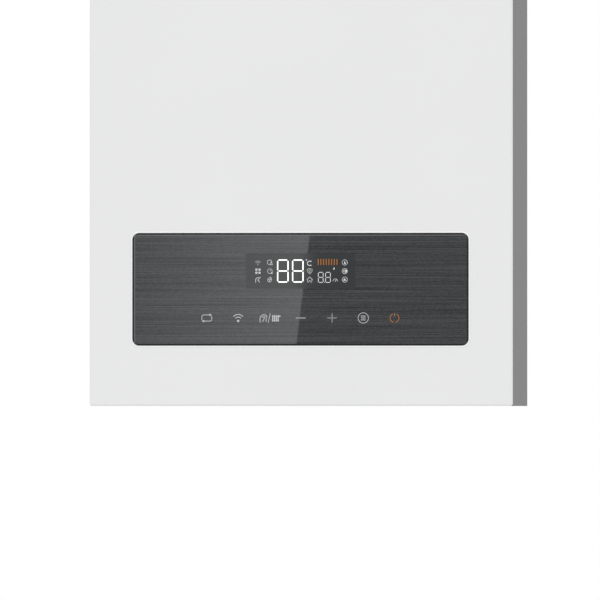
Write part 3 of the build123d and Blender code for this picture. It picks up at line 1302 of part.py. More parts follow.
def fluted_knob(x, y, z, towards, radius, length, flutes):
    """Round knob with grip flutes down its side."""
    start = Plane(origin=(x, y, z), z_dir=DIRECTIONS[towards])
    knob = Cylinder(radius, length, align=(MID, MID, LOW))
    groove = Cylinder(FLUTE_SHARE * radius, length + 2, align=(MID, MID, LOW))
    for k in range(flutes):
        knob -= Rot(0, 0, 360 * k / flutes) * Pos(FLUTE_PLACE * radius, 0, -1) * groove
    return start * knob


def vent_cap():
    """Fluted cap over the air vent's nipple."""
    low = vent_base + VENT_HEIGHT - VENT_CAP_OVERLAP
    place = (VENT_X, pump_port_y, low)
    cap = fluted_knob(*place, "+z", VENT_CAP_RADIUS, VENT_CAP_HEIGHT, VENT_CAP_FLUTES)
    return cap - rod(*place, "+z", VENT_NIPPLE + APART, VENT_CAP_OVERLAP + APART)


def vessel_hose():
    """Hose from the expansion vessel's port to the nipple behind the pump."""
    rear = -HOSE_STATION
    points = [
        (0, vessel_mid, vessel_port_z),
        (0, vessel_mid, vessel_port_z - HOSE_DROP),
        (pump_x, rear, hose_z + HOSE_RISE),
        (pump_x, rear, hose_z),
        (pump_x, hose_end_y, hose_z),
    ]
    return pipe(points, HOSE_RADIUS, HOSE_RADIUS - HOSE_WALL, HOSE_BEND)


RETURN_BLOCK_X = (88.0, 156.0)
FLOW_BLOCK_X = (-160.0, -86.0)
BLOCK_REACH = 19.0  # valve blocks in front of and behind the pipe ends
BLOCK_CORNER = 5.0
RELIEF_RADIUS = 11.0
RELIEF_LENGTH = 36.0
KNOB_SPINDLE = 3.0
SPINDLE_DEPTH = 10.0
SPINDLE_ROOM = 2.0  # behind a spindle's end
BLOCK_BORE = 10.0
PORT = 9.0  # radius of the plate heat exchanger's ports
PORT_BORE = 6.0
PLATE_HEATING_X = (-101.0, 106.0)
PLATE_HEATING_Z = 73.0
PLATE_WATER_Z = 97.0

block_front = stub_y - BLOCK_REACH
block_rear = stub_y + BLOCK_REACH
block_z = (BLOCK_LOW + block_top) / 2


def valve_block(x0, x1):
    body = block(x0, x1, block_front, block_rear, BLOCK_LOW, block_top)
    return fillet(body.edges().filter_by(Axis.Z), BLOCK_CORNER)


def return_block():
    """Block under the pump that takes the return pipe and the filling tap's spindle."""
    body = valve_block(*RETURN_BLOCK_X)
    body -= rod(pump_x, stub_y, BLOCK_LOW - 1, "+z", BLOCK_BORE, BLOCK_HEIGHT + 2)
    depth = SPINDLE_DEPTH + SPINDLE_ROOM
    return body - rod(FILLER_X, stub_y, BLOCK_LOW, "+z", FILLER_SPINDLE + SLIP, depth)


VALVE_RADIUS = 17.0
VALVE_TOP = 140.0
VALVE_CAVITY = 11.0
VALVE_STEM = 3.0
VALVE_DISC = 9.0
VALVE_TRAVEL = 8.0
VALVE_INLET_Z = 118.0
VALVE_INLET_REACH = 30.0
VALVE_INLET_RADIUS = 12.0
VALVE_INLET_BORE = 7.0
VALVE_ROOF = 12.0  # above the cavity
VALVE_FOOT = 5.0  # barrel's foot above the block's underside
VALVE_DISC_HEIGHT = 4.0
VALVE_DISC_RISE = 8.0  # above the block at rest
DIVERTER_HALF = 20.0
DIVERTER_HEIGHT = 45.0
DIVERTER_CORNER = 5.0
DIVERTER_PLUG_INSET = 8.0
DIVERTER_PLUG_REACH = 8.0
DIVERTER_PLUG_HEIGHT = 12.0
STEM_ABOVE_VALVE = 12.0

valve_x = STUB_X["heating_flow"]
valve_inlet_y = stub_y - VALVE_INLET_REACH


def flow_block():
    """Block with the three-way valve's barrel and its inlet from the heat exchanger."""
    body = valve_block(*FLOW_BLOCK_X)
    foot, cavity_top = BLOCK_LOW + VALVE_FOOT, VALVE_TOP - VALVE_ROOF
    body += rod(valve_x, stub_y, foot, "+z", VALVE_RADIUS, VALVE_TOP - foot)
    body += rod(valve_x, stub_y, VALVE_INLET_Z, "-y", VALVE_INLET_RADIUS, VALVE_INLET_REACH)
    body -= rod(valve_x, stub_y, BLOCK_LOW - 1, "+z", BLOCK_BORE, BLOCK_HEIGHT + 1)
    body -= rod(valve_x, stub_y, block_top, "+z", VALVE_CAVITY, cavity_top - block_top)
    body -= rod(valve_x, stub_y, VALVE_INLET_Z, "-y", VALVE_INLET_BORE, VALVE_INLET_REACH + 1)
    return body - rod(valve_x, stub_y, cavity_top - 1, "+z", VALVE_STEM + SLIP, VALVE_ROOF + 2)


def diverter_motor():
    """Actuator clipped on the three-way valve's barrel."""
    x0, x1 = valve_x - DIVERTER_HALF, valve_x + DIVERTER_HALF
    y0, y1 = stub_y - DIVERTER_HALF, stub_y + DIVERTER_HALF
    body = block(x0, x1, y0, y1, VALVE_TOP, VALVE_TOP + DIVERTER_HEIGHT)
    body = fillet(body.edges().filter_by(Axis.Z), DIVERTER_CORNER)
    inset, low = DIVERTER_PLUG_INSET, VALVE_TOP + DIVERTER_PLUG_INSET
    high = low + DIVERTER_PLUG_HEIGHT
    body += block(x0 + inset, x1 - inset, y0 - DIVERTER_PLUG_REACH, y0, low, high)
    room = STEM_ABOVE_VALVE + VALVE_TRAVEL + SPINDLE_ROOM
    return body - rod(valve_x, stub_y, VALVE_TOP, "+z", VALVE_STEM + SLIP, room)


def diverter_stem():
    """Stem of the three-way valve with its closing disc."""
    foot = block_top + VALVE_DISC_RISE
    stem = rod(valve_x, stub_y, foot, "+z", VALVE_STEM, VALVE_TOP + STEM_ABOVE_VALVE - foot)
    return stem + rod(valve_x, stub_y, foot, "+z", VALVE_DISC, VALVE_DISC_HEIGHT)


def relief_valve():
    """Safety valve on the flow block, with its drain down through the tray and a lock nut."""
    body = rod(RELIEF_X, block_front, block_z, "-y", RELIEF_RADIUS, RELIEF_LENGTH)
    body += rod(RELIEF_X, relief_y, block_z, "-z", RELIEF_DRAIN_RADIUS, block_z - DRAIN_END)
    flats, nut_low = 2 * (RELIEF_DRAIN_RADIUS + DRAIN_NUT_REACH), TRAY_HEIGHT - DRAIN_NUT_HEIGHT
    body += hexagon(RELIEF_X, relief_y, nut_low, "+z", flats, DRAIN_NUT_HEIGHT)
    bore = RELIEF_DRAIN_RADIUS - RELIEF_DRAIN_WALL
    body -= rod(RELIEF_X, relief_y, block_z - RELIEF_RADIUS, "-z", bore, block_z)
    bore = KNOB_SPINDLE + SLIP
    return body - rod(RELIEF_X, relief_front, block_z, "+y", bore, SPINDLE_DEPTH + SPINDLE_ROOM)


KNOB_RADIUS = 13.0
KNOB_LENGTH = 18.0
KNOB_FLUTES = 8
KNOB_SEAT = 2.0  # spindle's end inside the knob
DRAIN_END = 12.0
DRAIN_NUT_HEIGHT = 7.0
DRAIN_NUT_REACH = 2.5  # across flats beyond the drain, on each side
FILLER_KNOB_RADIUS = 11.0
FILLER_KNOB_LOW = 15.0
FILLER_KNOB_LENGTH = 22.0

relief_front = block_front - RELIEF_LENGTH


def relief_knob():
    rear = relief_front - APART
    knob = fluted_knob(RELIEF_X, rear, block_z, "-y", KNOB_RADIUS, KNOB_LENGTH, KNOB_FLUTES)
    reach = SPINDLE_DEPTH + APART + KNOB_SEAT
    return knob + rod(RELIEF_X, rear - KNOB_SEAT, block_z, "+y", KNOB_SPINDLE, reach)


def filling_knob():
    """Knob of the filling tap under the tray, on its spindle into the return block."""
    place = (FILLER_X, stub_y, FILLER_KNOB_LOW)
    knob = fluted_knob(*place, "+z", FILLER_KNOB_RADIUS, FILLER_KNOB_LENGTH, KNOB_FLUTES)
    foot, top = FILLER_KNOB_LOW + KNOB_SEAT, BLOCK_LOW + SPINDLE_DEPTH
    return knob + rod(FILLER_X, stub_y, foot, "+z", FILLER_SPINDLE, top - foot)


COLD_RADIUS = 14.0
TURBINE_BORE = 9.0
TURBINE_RADIUS = 8.4
TURBINE_LOW = 70.0
TURBINE_HEIGHT = 14.0
TURBINE_SHAFT = 1.5
TURBINE_HUB = 4.0
TURBINE_BLADES = 6
TURBINE_BLADE = 1.2
SPIDER = 2.5
SPIDER_ARM = 4.0
SPIDER_HUB = 3.5
COLD_ROOF = 4.0  # closed end above the water way
LINK_RADIUS = 7.0
HOT_RADIUS = 12.0
HOT_BORE = 7.0

cold_x = STUB_X["cold_water"]
hot_x = STUB_X["hot_water"]
water_top = PLATE_WATER_Z + COLD_RADIUS


def cold_water_block():
    """Cold inlet with the flow sensor's turbine chamber, up to the plate heat exchanger."""
    height = water_top - BLOCK_LOW
    body = rod(cold_x, stub_y, BLOCK_LOW, "+z", COLD_RADIUS, height)
    body += rod(cold_x, stub_y, PLATE_WATER_Z, "+y", PORT + 1, BLOCK_REACH)
    body += rod(cold_x, stub_y, PLATE_HEATING_Z, "+x", LINK_RADIUS, RETURN_BLOCK_X[0] - cold_x)
    body -= rod(cold_x, stub_y, BLOCK_LOW, "+z", TURBINE_BORE, height - COLD_ROOF)
    body -= rod(cold_x, stub_y, PLATE_WATER_Z, "+y", PORT_BORE, BLOCK_REACH + 1)
    long, half = TURBINE_BORE + ROOT, SPIDER_ARM / 2
    for z in (TURBINE_LOW - APART - SPIDER, TURBINE_LOW + TURBINE_HEIGHT + APART):
        spider = block(-long, long, -half, half, z, z + SPIDER)
        spider += block(-half, half, -long, long, z, z + SPIDER)
        spider = Pos(cold_x, stub_y, 0) * spider + rod(cold_x, stub_y, z, "+z", SPIDER_HUB, SPIDER)
        body += spider - rod(cold_x, stub_y, z - 1, "+z", TURBINE_SHAFT + SLIP, SPIDER + 2)
    return body


def flow_turbine():
    """Turbine of the flow sensor, with its shaft in the two spiders."""
    wheel = rod(cold_x, stub_y, TURBINE_LOW, "+z", TURBINE_HUB, TURBINE_HEIGHT)
    half, top = TURBINE_BLADE / 2, TURBINE_LOW + TURBINE_HEIGHT
    blade = block(TURBINE_HUB - 1, TURBINE_RADIUS, -half, half, TURBINE_LOW, top)
    for k in range(TURBINE_BLADES):
        wheel += Pos(cold_x, stub_y, 0) * Rot(0, 0, 360 * k / TURBINE_BLADES) * blade
    reach = SPIDER + APART
    low = TURBINE_LOW - reach
    return wheel + rod(cold_x, stub_y, low, "+z", TURBINE_SHAFT, TURBINE_HEIGHT + 2 * reach)


def hot_water_elbow():
    """Outlet elbow from the plate heat exchanger down to the hot water pipe end."""
    elbow = rod(hot_x, stub_y, BLOCK_LOW, "+z", HOT_RADIUS, PLATE_WATER_Z + HOT_RADIUS - BLOCK_LOW)
    elbow += rod(hot_x, stub_y, PLATE_WATER_Z, "+y", PORT + 1, BLOCK_REACH)
    elbow -= rod(hot_x, stub_y, BLOCK_LOW, "+z", HOT_BORE, PLATE_WATER_Z - BLOCK_LOW)
    return elbow - rod(hot_x, stub_y, PLATE_WATER_Z, "+y", PORT_BORE, BLOCK_REACH + 1)


PLATE_MIDDLE = 2.0  # right of the casing's middle
PLATE_HALF = 120.0
PLATE_FRONT_GAP = 12.0  # valve blocks to the plate heat exchanger
PLATE_DEPTH = 48.0
PLATE_LOW = 56.0
PLATE_HIGH = 112.0
PLATE_COUNT = 12
PLATE_GROOVE = 1.5
PLATE_RIM_SHARE = 0.45  # of a plate's pitch that its rim stands out
PORT_DEPTH = 12.0  # ports' bores inside the stack

plate_front = block_rear + PLATE_FRONT_GAP


def plate_heat_exchanger():
    """Brazed stack of plates with two heating ports and two water ports."""
    g = PLATE_GROOVE
    rear = plate_front + PLATE_DEPTH
    x0, x1 = PLATE_MIDDLE - PLATE_HALF, PLATE_MIDDLE + PLATE_HALF
    stack = block(x0 + g, x1 - g, plate_front, rear, PLATE_LOW + g, PLATE_HIGH - g)
    pitch = PLATE_DEPTH / PLATE_COUNT
    for k in range(PLATE_COUNT):
        y = plate_front + pitch * k
        stack += block(x0, x1, y, y + pitch * PLATE_RIM_SHARE, PLATE_LOW, PLATE_HIGH)
    ports = [(x, PLATE_HEATING_Z) for x in PLATE_HEATING_X]
    ports += [(hot_x, PLATE_WATER_Z), (cold_x, PLATE_WATER_Z)]
    for x, z in ports:
        stack += rod(x, plate_front + 1, z, "-y", PORT, PLATE_FRONT_GAP + 1)
        stack -= rod(x, plate_front + PORT_DEPTH, z, "-y", PORT_BORE, PORT_DEPTH + PLATE_FRONT_GAP + 1)
    return stack


# ---------------------------------------------------------------- gas train
GAS_VALVE_HALF = 30.0
GAS_VALVE_FRONT = 45.0  # in front of the gas pipe end
GAS_VALVE_REAR = 17.0
GAS_VALVE_LOW = 88.0
GAS_VALVE_HIGH = 168.0
COIL_RADIUS = 13.0
COIL_LENGTH = 28.0
COIL_BELOW_TOP = 24.0
COIL_GAP = 4.0  # between the two front coils
COIL_STUD = 6.0
COIL_STUD_LENGTH = 3.0
MODULATOR_LENGTH = 19.0
MODULATOR_ABOVE_FOOT = 34.0
MODULATOR_FORWARD = 14.0
TEST_NIPPLE_X = -12.0
TEST_NIPPLE_RADIUS = 5.0
TEST_NIPPLE_LENGTH = 8.0
TEST_NIPPLE_ABOVE_FOOT = 20.0
GAS_VALVE_CORNER = 6.0
GAS_INLET_BORE = 9.0
GAS_OUTLET_RADIUS = 10.0
GAS_OUTLET_BORE = 5.0
GAS_BORE_DEPTH = 10.0
GAS_OUTLET_SETBACK = 20.0
GAS_OUTLET_BOSS = 12.0
GAS_PIPE_RISE = 56.0
GAS_PIPE_BEND = 18.0

gas_x = STUB_X["gas"]
gas_outlet_y = stub_y - GAS_OUTLET_SETBACK
gas_outlet_z = GAS_VALVE_HIGH + GAS_OUTLET_BOSS


def gas_valve():
    """Die-cast gas valve with two shut-off coils in front and a modulating coil at its side."""
    x0, x1 = gas_x - GAS_VALVE_HALF, gas_x + GAS_VALVE_HALF
    front, rear = stub_y - GAS_VALVE_FRONT, stub_y + GAS_VALVE_REAR
    body = block(x0, x1, front, rear, GAS_VALVE_LOW, GAS_VALVE_HIGH)
    body = fillet(body.edges().filter_by(Axis.Z), GAS_VALVE_CORNER)
    body += rod(gas_x, stub_y, BLOCK_LOW, "+z", THREAD_34, GAS_VALVE_LOW - BLOCK_LOW)
    body += rod(gas_x, gas_outlet_y, GAS_VALVE_HIGH, "+z", GAS_OUTLET_RADIUS, GAS_OUTLET_BOSS)
    coil_x, coil_z = COIL_RADIUS + COIL_GAP / 2, GAS_VALVE_HIGH - COIL_BELOW_TOP
    for x in (gas_x - coil_x, gas_x + coil_x):
        body += rod(x, front, coil_z, "-y", COIL_RADIUS, COIL_LENGTH)
        body += rod(x, front, coil_z, "-y", COIL_STUD, COIL_LENGTH + COIL_STUD_LENGTH)
    y, z = stub_y - MODULATOR_FORWARD, GAS_VALVE_LOW + MODULATOR_ABOVE_FOOT
    body += rod(x1, y, z, "+x", COIL_RADIUS, MODULATOR_LENGTH)
    x, z = gas_x + TEST_NIPPLE_X, GAS_VALVE_LOW + TEST_NIPPLE_ABOVE_FOOT
    body += rod(x, front, z, "-y", TEST_NIPPLE_RADIUS, TEST_NIPPLE_LENGTH)
    body -= rod(gas_x, stub_y, BLOCK_LOW, "+z", GAS_INLET_BORE, GAS_VALVE_LOW - BLOCK_LOW)
    low = GAS_VALVE_HIGH - GAS_BORE_DEPTH
    return body - rod(gas_x, gas_outlet_y, low, "+z", GAS_OUTLET_BORE, gas_outlet_z - low)


def gas_pipe():
    """Pipe from the gas valve up through the chamber's floor to the burner's gas rail."""
    level = gas_outlet_z + GAS_PIPE_RISE
    points = [
        (gas_x, gas_outlet_y, gas_outlet_z),
        (gas_x, gas_outlet_y, level),
        (gas_x, gas_feed_y, level),
        (gas_x, gas_feed_y, manifold_low),
    ]
    return pipe(points, GAS_PIPE_RADIUS, GAS_PIPE_RADIUS - PIPE_WALL, GAS_PIPE_BEND)


# ---------------------------------------------------------------- pipes and fittings
RISER_BEND = 20.0
RETURN_RISE = 36.0  # straight run above the pump
RETURN_SLANT = 40.0  # height over which the return pipe moves to the chamber's side
SUPPLY_REACH = 41.0  # supply pipe in front of the three-way valve's inlet
SUPPLY_ABOVE_BOX = 33.0  # its bend above the control box's top
SUPPLY_BELOW_CHAMBER = 22.0


def return_riser():
    """Pipe from the pump up to the heat exchanger's right end."""
    y = tube_stations()[0]
    points = [
        (pump_x, pump_port_y, pump_top),
        (pump_x, pump_port_y, pump_top + RETURN_RISE),
        (riser_x, y, pump_top + RETURN_RISE + RETURN_SLANT),
        (riser_x, y, riser_top),
    ]
    return pipe(points, PIPE_RADIUS, PIPE_RADIUS - PIPE_WALL, RISER_BEND)


def supply_riser():
    """Pipe from the heat exchanger's left end down to the three-way valve."""
    y = tube_stations()[-1]
    clear_y = valve_inlet_y - SUPPLY_REACH
    points = [
        (valve_x, valve_inlet_y, VALVE_INLET_Z),
        (valve_x, clear_y, VALVE_INLET_Z),
        (valve_x, clear_y, BOX_TOP + SUPPLY_ABOVE_BOX),
        (-riser_x, y, CHAMBER_BOTTOM - SUPPLY_BELOW_CHAMBER),
        (-riser_x, y, riser_top),
    ]
    return pipe(points, PIPE_RADIUS, PIPE_RADIUS - PIPE_WALL, RISER_BEND)


NUT_FLATS = 27.0
NUT_LENGTH = 14.0
GAS_NUT_FLATS = 19.0
SENSOR_BELOW_NUT = 60.0  # below the middle of the union nut
SENSOR_CLIP = 2.0
SENSOR_CLIP_HEIGHT = 12.0
SENSOR_WIDTH = 8.0
SENSOR_REACH = 12.0


def union_nut(x, y, z, towards, flats, length, pipe_radius):
    nut = hexagon(x, y, z, towards, flats, length)
    return nut - rod(x, y, z, towards, pipe_radius + SLIP, length)


def pipe_fittings():
    """Union nuts of the water and gas pipes, and a temperature sensor clipped to each riser."""
    stations = tube_stations()
    pieces = [
        union_nut(pump_x, pump_port_y, pump_top, "+z", NUT_FLATS, NUT_LENGTH, PIPE_RADIUS),
        union_nut(valve_x, valve_inlet_y, VALVE_INLET_Z, "-y", NUT_FLATS, NUT_LENGTH, PIPE_RADIUS),
        union_nut(gas_x, gas_outlet_y, gas_outlet_z, "+z", GAS_NUT_FLATS, NUT_LENGTH, GAS_PIPE_RADIUS),
    ]
    for x, y in ((riser_x, stations[0]), (-riser_x, stations[-1])):
        low = riser_top - NUT_LENGTH
        pieces.append(union_nut(x, y, low, "+z", NUT_FLATS, 2 * NUT_LENGTH, PIPE_RADIUS))
        low, radius = riser_top - SENSOR_BELOW_NUT, PIPE_RADIUS + SENSOR_CLIP
        clip = tube(x, y, low, "+z", radius, PIPE_RADIUS + SLIP, SENSOR_CLIP_HEIGHT)
        half, front = SENSOR_WIDTH / 2, y - PIPE_RADIUS - SENSOR_REACH
        clip += block(x - half, x + half, front, y - radius + ROOT, low, low + SENSOR_CLIP_HEIGHT)
        pieces.append(clip)
    return group(pieces)


LOCK_NUT_HEIGHT = 9.0
LOCK_NUT_REACH = 3.0  # across flats beyond the thread, on each side
STUB_WALL = 2.5
STUB_COLLAR = 3.0
STUB_COLLAR_HEIGHT = 6.0
GLAND_BELOW_TRAY = 15.0
GLAND_LENGTH = 32.0
GLAND_NUT_FLATS = 24.0
GLAND_CAP_FLATS = 22.0
GLAND_CAP_HEIGHT = 6.0


def pipe_connections():
    """Five threaded pipe ends through the tray, each with its lock nut under it."""
    pieces = []
    for name, x in STUB_X.items():
        thread = STUB_THREAD[name]
        piece = rod(x, stub_y, STUB_END, "+z", thread, BLOCK_LOW - STUB_END)
        flats = 2 * (thread + LOCK_NUT_REACH)
        piece += hexagon(x, stub_y, TRAY_HEIGHT - LOCK_NUT_HEIGHT, "+z", flats, LOCK_NUT_HEIGHT)
        collar_z = BLOCK_LOW - STUB_COLLAR_HEIGHT
        piece += rod(x, stub_y, collar_z, "+z", thread + STUB_COLLAR, STUB_COLLAR_HEIGHT)
        piece -= rod(x, stub_y, STUB_END - 1, "+z", thread - STUB_WALL, BLOCK_LOW - STUB_END + 2)
        pieces.append(piece)
    return group(pieces)


def cable_gland():
    low = TRAY_HEIGHT - GLAND_BELOW_TRAY
    nut_z = TRAY_HEIGHT - LOCK_NUT_HEIGHT
    body = rod(gland_x, gland_y, low, "+z", GLAND_RADIUS, GLAND_LENGTH)
    body += hexagon(gland_x, gland_y, nut_z, "+z", GLAND_NUT_FLATS, LOCK_NUT_HEIGHT)
    body += hexagon(gland_x, gland_y, tray_top, "+z", GLAND_CAP_FLATS, GLAND_CAP_HEIGHT)
    return body - rod(gland_x, gland_y, low - 1, "+z", GLAND_BORE, GLAND_LENGTH + 2)


# ---------------------------------------------------------------- nodes
right_panel, left_panel = across_both(side_panel)

NODES = {
    "front_cover": front_cover(),
    "window_bezel": window_bezel(),
    "cover_screws": cover_screws(),
    "left_side_panel": left_panel,
    "right_side_panel": right_panel,
    "top_plate": top_plate(),
    "back_frame": back_frame(),
    "bottom_tray": bottom_tray(),
    "wall_bracket": wall_bracket(),
    "case_fixings": case_fixings(),
    "flue_collar": flue_collar(),
    "flue_seal": flue_seal(),
    "control_box_base": control_box_base(),
    "control_box_lid": control_box_lid(),
    "touch_glass": touch_glass(),
    "display_board": display_board(),
    "main_board": main_board(),
    "chamber_box": chamber_box(),
    "chamber_lid": chamber_lid(),
    "lid_gasket": lid_gasket(),
    "lid_screws": lid_screws(),
    "sight_glass": sight_glass(),
    "burner_frame": burner_frame(),
    "burner_ramps": burner_ramps(),
    "gas_manifold": gas_manifold(),
    "combustion_shell": combustion_shell(),
    "insulation_boards": insulation_boards(),
    "spark_electrodes": spark_electrodes(),
    "heat_exchanger_core": heat_exchanger_core(),
    "heat_exchanger_tubes": heat_exchanger_tubes(),
    "flue_hood": flue_hood(),
    "fan_housing": fan_housing(),
    "fan_motor": fan_motor(),
    "fan_impeller": fan_impeller(),
    "pressure_switch": pressure_switch(),
    "expansion_vessel": expansion_vessel(),
    "vessel_hose": vessel_hose(),
    "pump_body": pump_body(),
    "pump_motor": pump_motor(),
    "pump_rotor": pump_rotor(),
    "air_vent": air_vent(),
    "vent_cap": vent_cap(),
    "return_block": return_block(),
    "flow_block": flow_block(),
    "diverter_motor": diverter_motor(),
    "diverter_stem": diverter_stem(),
    "relief_valve": relief_valve(),
    "relief_knob": relief_knob(),
    "filling_knob": filling_knob(),
    "cold_water_block": cold_water_block(),
    "flow_turbine": flow_turbine(),
    "hot_water_elbow": hot_water_elbow(),
    "plate_heat_exchanger": plate_heat_exchanger(),
    "gas_valve": gas_valve(),
    "gas_pipe": gas_pipe(),
    "return_riser": return_riser(),
    "supply_riser": supply_riser(),
    "pipe_fittings": pipe_fittings(),
    "pipe_connections": pipe_connections(),
    "cable_gland": cable_gland(),
}

for name, shape in NODES.items():
    export_step(shape, f"parts/{name}.step")
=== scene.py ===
"""Looks of the wall-hung combi boiler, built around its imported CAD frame.

Metres, in the CAD frame: x to the right seen from the front, -y towards the front, z up.
Sizes that end in _MM, and the panel's drawing, are in millimetres.
"""

import json
import math

import bmesh
import bpy
from mathutils import Matrix, Vector


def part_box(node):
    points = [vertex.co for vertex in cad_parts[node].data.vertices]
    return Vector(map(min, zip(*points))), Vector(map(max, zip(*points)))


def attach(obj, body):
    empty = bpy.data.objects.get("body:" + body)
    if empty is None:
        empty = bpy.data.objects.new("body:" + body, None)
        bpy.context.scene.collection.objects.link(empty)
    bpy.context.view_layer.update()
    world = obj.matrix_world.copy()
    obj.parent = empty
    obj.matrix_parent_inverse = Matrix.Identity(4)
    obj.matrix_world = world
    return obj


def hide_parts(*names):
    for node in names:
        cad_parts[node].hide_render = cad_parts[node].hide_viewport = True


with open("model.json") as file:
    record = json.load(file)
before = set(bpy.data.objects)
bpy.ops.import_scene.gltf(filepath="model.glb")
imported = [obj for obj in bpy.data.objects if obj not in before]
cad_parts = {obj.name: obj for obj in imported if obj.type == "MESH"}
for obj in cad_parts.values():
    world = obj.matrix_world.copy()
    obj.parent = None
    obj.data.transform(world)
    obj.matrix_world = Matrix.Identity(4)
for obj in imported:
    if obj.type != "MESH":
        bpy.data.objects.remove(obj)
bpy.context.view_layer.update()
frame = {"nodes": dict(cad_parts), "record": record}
scene = bpy.context.scene
MM = 0.001


def add_object(name, data):
    """New object in the scene's own collection."""
    made = bpy.data.objects.new(name, data)
    scene.collection.objects.link(made)
    return made


# ---------------------------------------------------------------- finishes
MIX_A, MIX_B, MIX_RESULT = 6, 7, 2  # colour sockets of the Mix node
ROUND = (1.0, 1.0, 1.0)  # a pattern's scale along x, y and z: as wide as it is high
DRAWN = (1.0, 1.0, 0.05)  # drawn out along z, as are the next four
ROLLED = (1.0, 1.0, 0.04)
TRACKS = (1.0, 1.0, 0.12)
FIBRES = (1.0, 1.0, 0.3)
FINE_FIBRES = (1.0, 1.0, 0.2)


class Finish:
    """A node material on one Principled shader, with its detail added layer by layer."""

    def __init__(self, name, color, roughness, metallic=0.0, **sockets):
        self.material = bpy.data.materials.new(name)
        self.material.use_nodes = True
        self.nodes = self.material.node_tree.nodes
        self.links = self.material.node_tree.links
        self.shader = self.nodes["Principled BSDF"]
        self.place = self.nodes.new("ShaderNodeTexCoord").outputs["Object"]
        self.color = None
        self.normal = None
        self.base = (*color, 1.0)
        inputs = self.shader.inputs
        inputs["Base Color"].default_value = self.base
        inputs["Roughness"].default_value = roughness
        inputs["Metallic"].default_value = metallic
        for socket, value in sockets.items():
            inputs[socket.replace("_", " ")].default_value = value

    def node(self, kind, values=(), **settings):
        """New node with its sockets' values and its settings."""
        made = self.nodes.new(kind)
        for key, value in settings.items():
            setattr(made, key, value)
        for key, value in dict(values).items():
            made.inputs[key].default_value = value
        return made

    def stretched(self, stretch):
        """Place on the object, in metres, times the stretch along each axis."""
        mapping = self.node("ShaderNodeMapping", {"Scale": stretch})
        self.links.new(self.place, mapping.inputs["Vector"])
        return mapping.outputs["Vector"]

    def noise(self, scale, stretch=ROUND, detail=2.0):
        """Cloudy pattern; scale is about the number of clouds in a metre."""
        made = self.node("ShaderNodeTexNoise", {"Scale": scale, "Detail": detail})
        self.links.new(self.stretched(stretch), made.inputs["Vector"])
        return made.outputs["Fac"]

    def cells(self, scale, stretch=ROUND):
        """Crystal-like patches of one grey each."""
        made = self.node("ShaderNodeTexVoronoi", {"Scale": scale})
        self.links.new(self.stretched(stretch), made.inputs["Vector"])
        split = self.node("ShaderNodeSeparateColor")
        self.links.new(made.outputs["Color"], split.inputs["Color"])
        return split.outputs["Red"]

    def spread(self, pattern, low, high, start=0.3, end=0.7):
        """Pattern's middle range stretched to run from low to high."""
        values = {"From Min": start, "From Max": end, "To Min": low, "To Max": high}
        made = self.node("ShaderNodeMapRange", values)
        self.links.new(pattern, made.inputs["Value"])
        return made.outputs["Result"]

    def tint(self, pattern, color, amount=1.0, start=0.3, end=0.7):
        """Second colour laid over the first where the pattern is strong."""
        mix = self.node("ShaderNodeMix", data_type="RGBA")
        mix.inputs[MIX_A].default_value = self.base
        mix.inputs[MIX_B].default_value = (*color, 1.0)
        if self.color:
            self.links.new(self.color, mix.inputs[MIX_A])
        self.links.new(self.spread(pattern, 0.0, amount, start, end), mix.inputs["Factor"])
        self.color = mix.outputs[MIX_RESULT]
        self.links.new(self.color, self.shader.inputs["Base Color"])
        return self

    def gloss(self, pattern, low, high, start=0.3, end=0.7):
        """Roughness that follows the pattern."""
        self.links.new(self.spread(pattern, low, high, start, end), self.shader.inputs["Roughness"])
        return self

    def relief(self, pattern, depth_mm):
        """Fine relief of that depth."""
        bump = self.node("ShaderNodeBump", {"Distance": depth_mm * MM})
        self.links.new(pattern, bump.inputs["Height"])
        if self.normal:
            self.links.new(self.normal, bump.inputs["Normal"])
        self.normal = bump.outputs["Normal"]
        self.links.new(self.normal, self.shader.inputs["Normal"])
        return self


def scaled(color, factor):
    """Colour made darker or lighter, at most white."""
    return tuple(min(1.0, channel * factor) for channel in color)


def powder_coat(name, color, specular):
    """Satin powder coat: fine orange peel, hardly any change of tone."""
    made = Finish(name, color, 0.5, Specular_IOR_Level=specular)
    made.tint(made.noise(6.0), scaled(color, 0.985))
    made.gloss(made.noise(300.0), 0.46, 0.54)
    return made.relief(made.noise(520.0, detail=1.0), 0.012)


def moulded(name, color, roughness, grain=900.0, depth=0.03, tone=0.86):
    """Moulded plastic or rubber with an even spark-eroded grain; depth in millimetres."""
    made = Finish(name, color, roughness)
    made.tint(made.noise(60.0), scaled(color, tone))
    made.gloss(made.noise(grain * 0.5), roughness - 0.06, roughness + 0.08)
    return made.relief(made.noise(grain, detail=1.0), depth)


def sheet_metal(name, color, roughness, spangle):
    """Galvanised or aluminised sheet: crystal spangle, faint rolling lines and smudges."""
    made = Finish(name, color, roughness, metallic=1.0)
    made.tint(made.cells(spangle), scaled(color, 0.82), amount=0.8, start=0.1, end=0.9)
    made.tint(made.noise(14.0, detail=4.0), scaled(color, 0.72), amount=0.5)
    made.gloss(made.cells(spangle), roughness - 0.08, roughness + 0.12, start=0.0, end=1.0)
    return made.relief(made.noise(900.0, ROLLED), 0.006)


def cast_metal(name, color, roughness, depth=0.12):
    """Die-cast or sand-cast skin with a pebble that many millimetres deep and darker hollows."""
    made = Finish(name, color, roughness, metallic=1.0)
    made.tint(made.noise(90.0, detail=4.0), scaled(color, 0.74))
    made.gloss(made.noise(400.0), roughness - 0.08, roughness + 0.14)
    made.relief(made.noise(420.0, detail=3.0), depth)
    return made.relief(made.noise(70.0), depth)


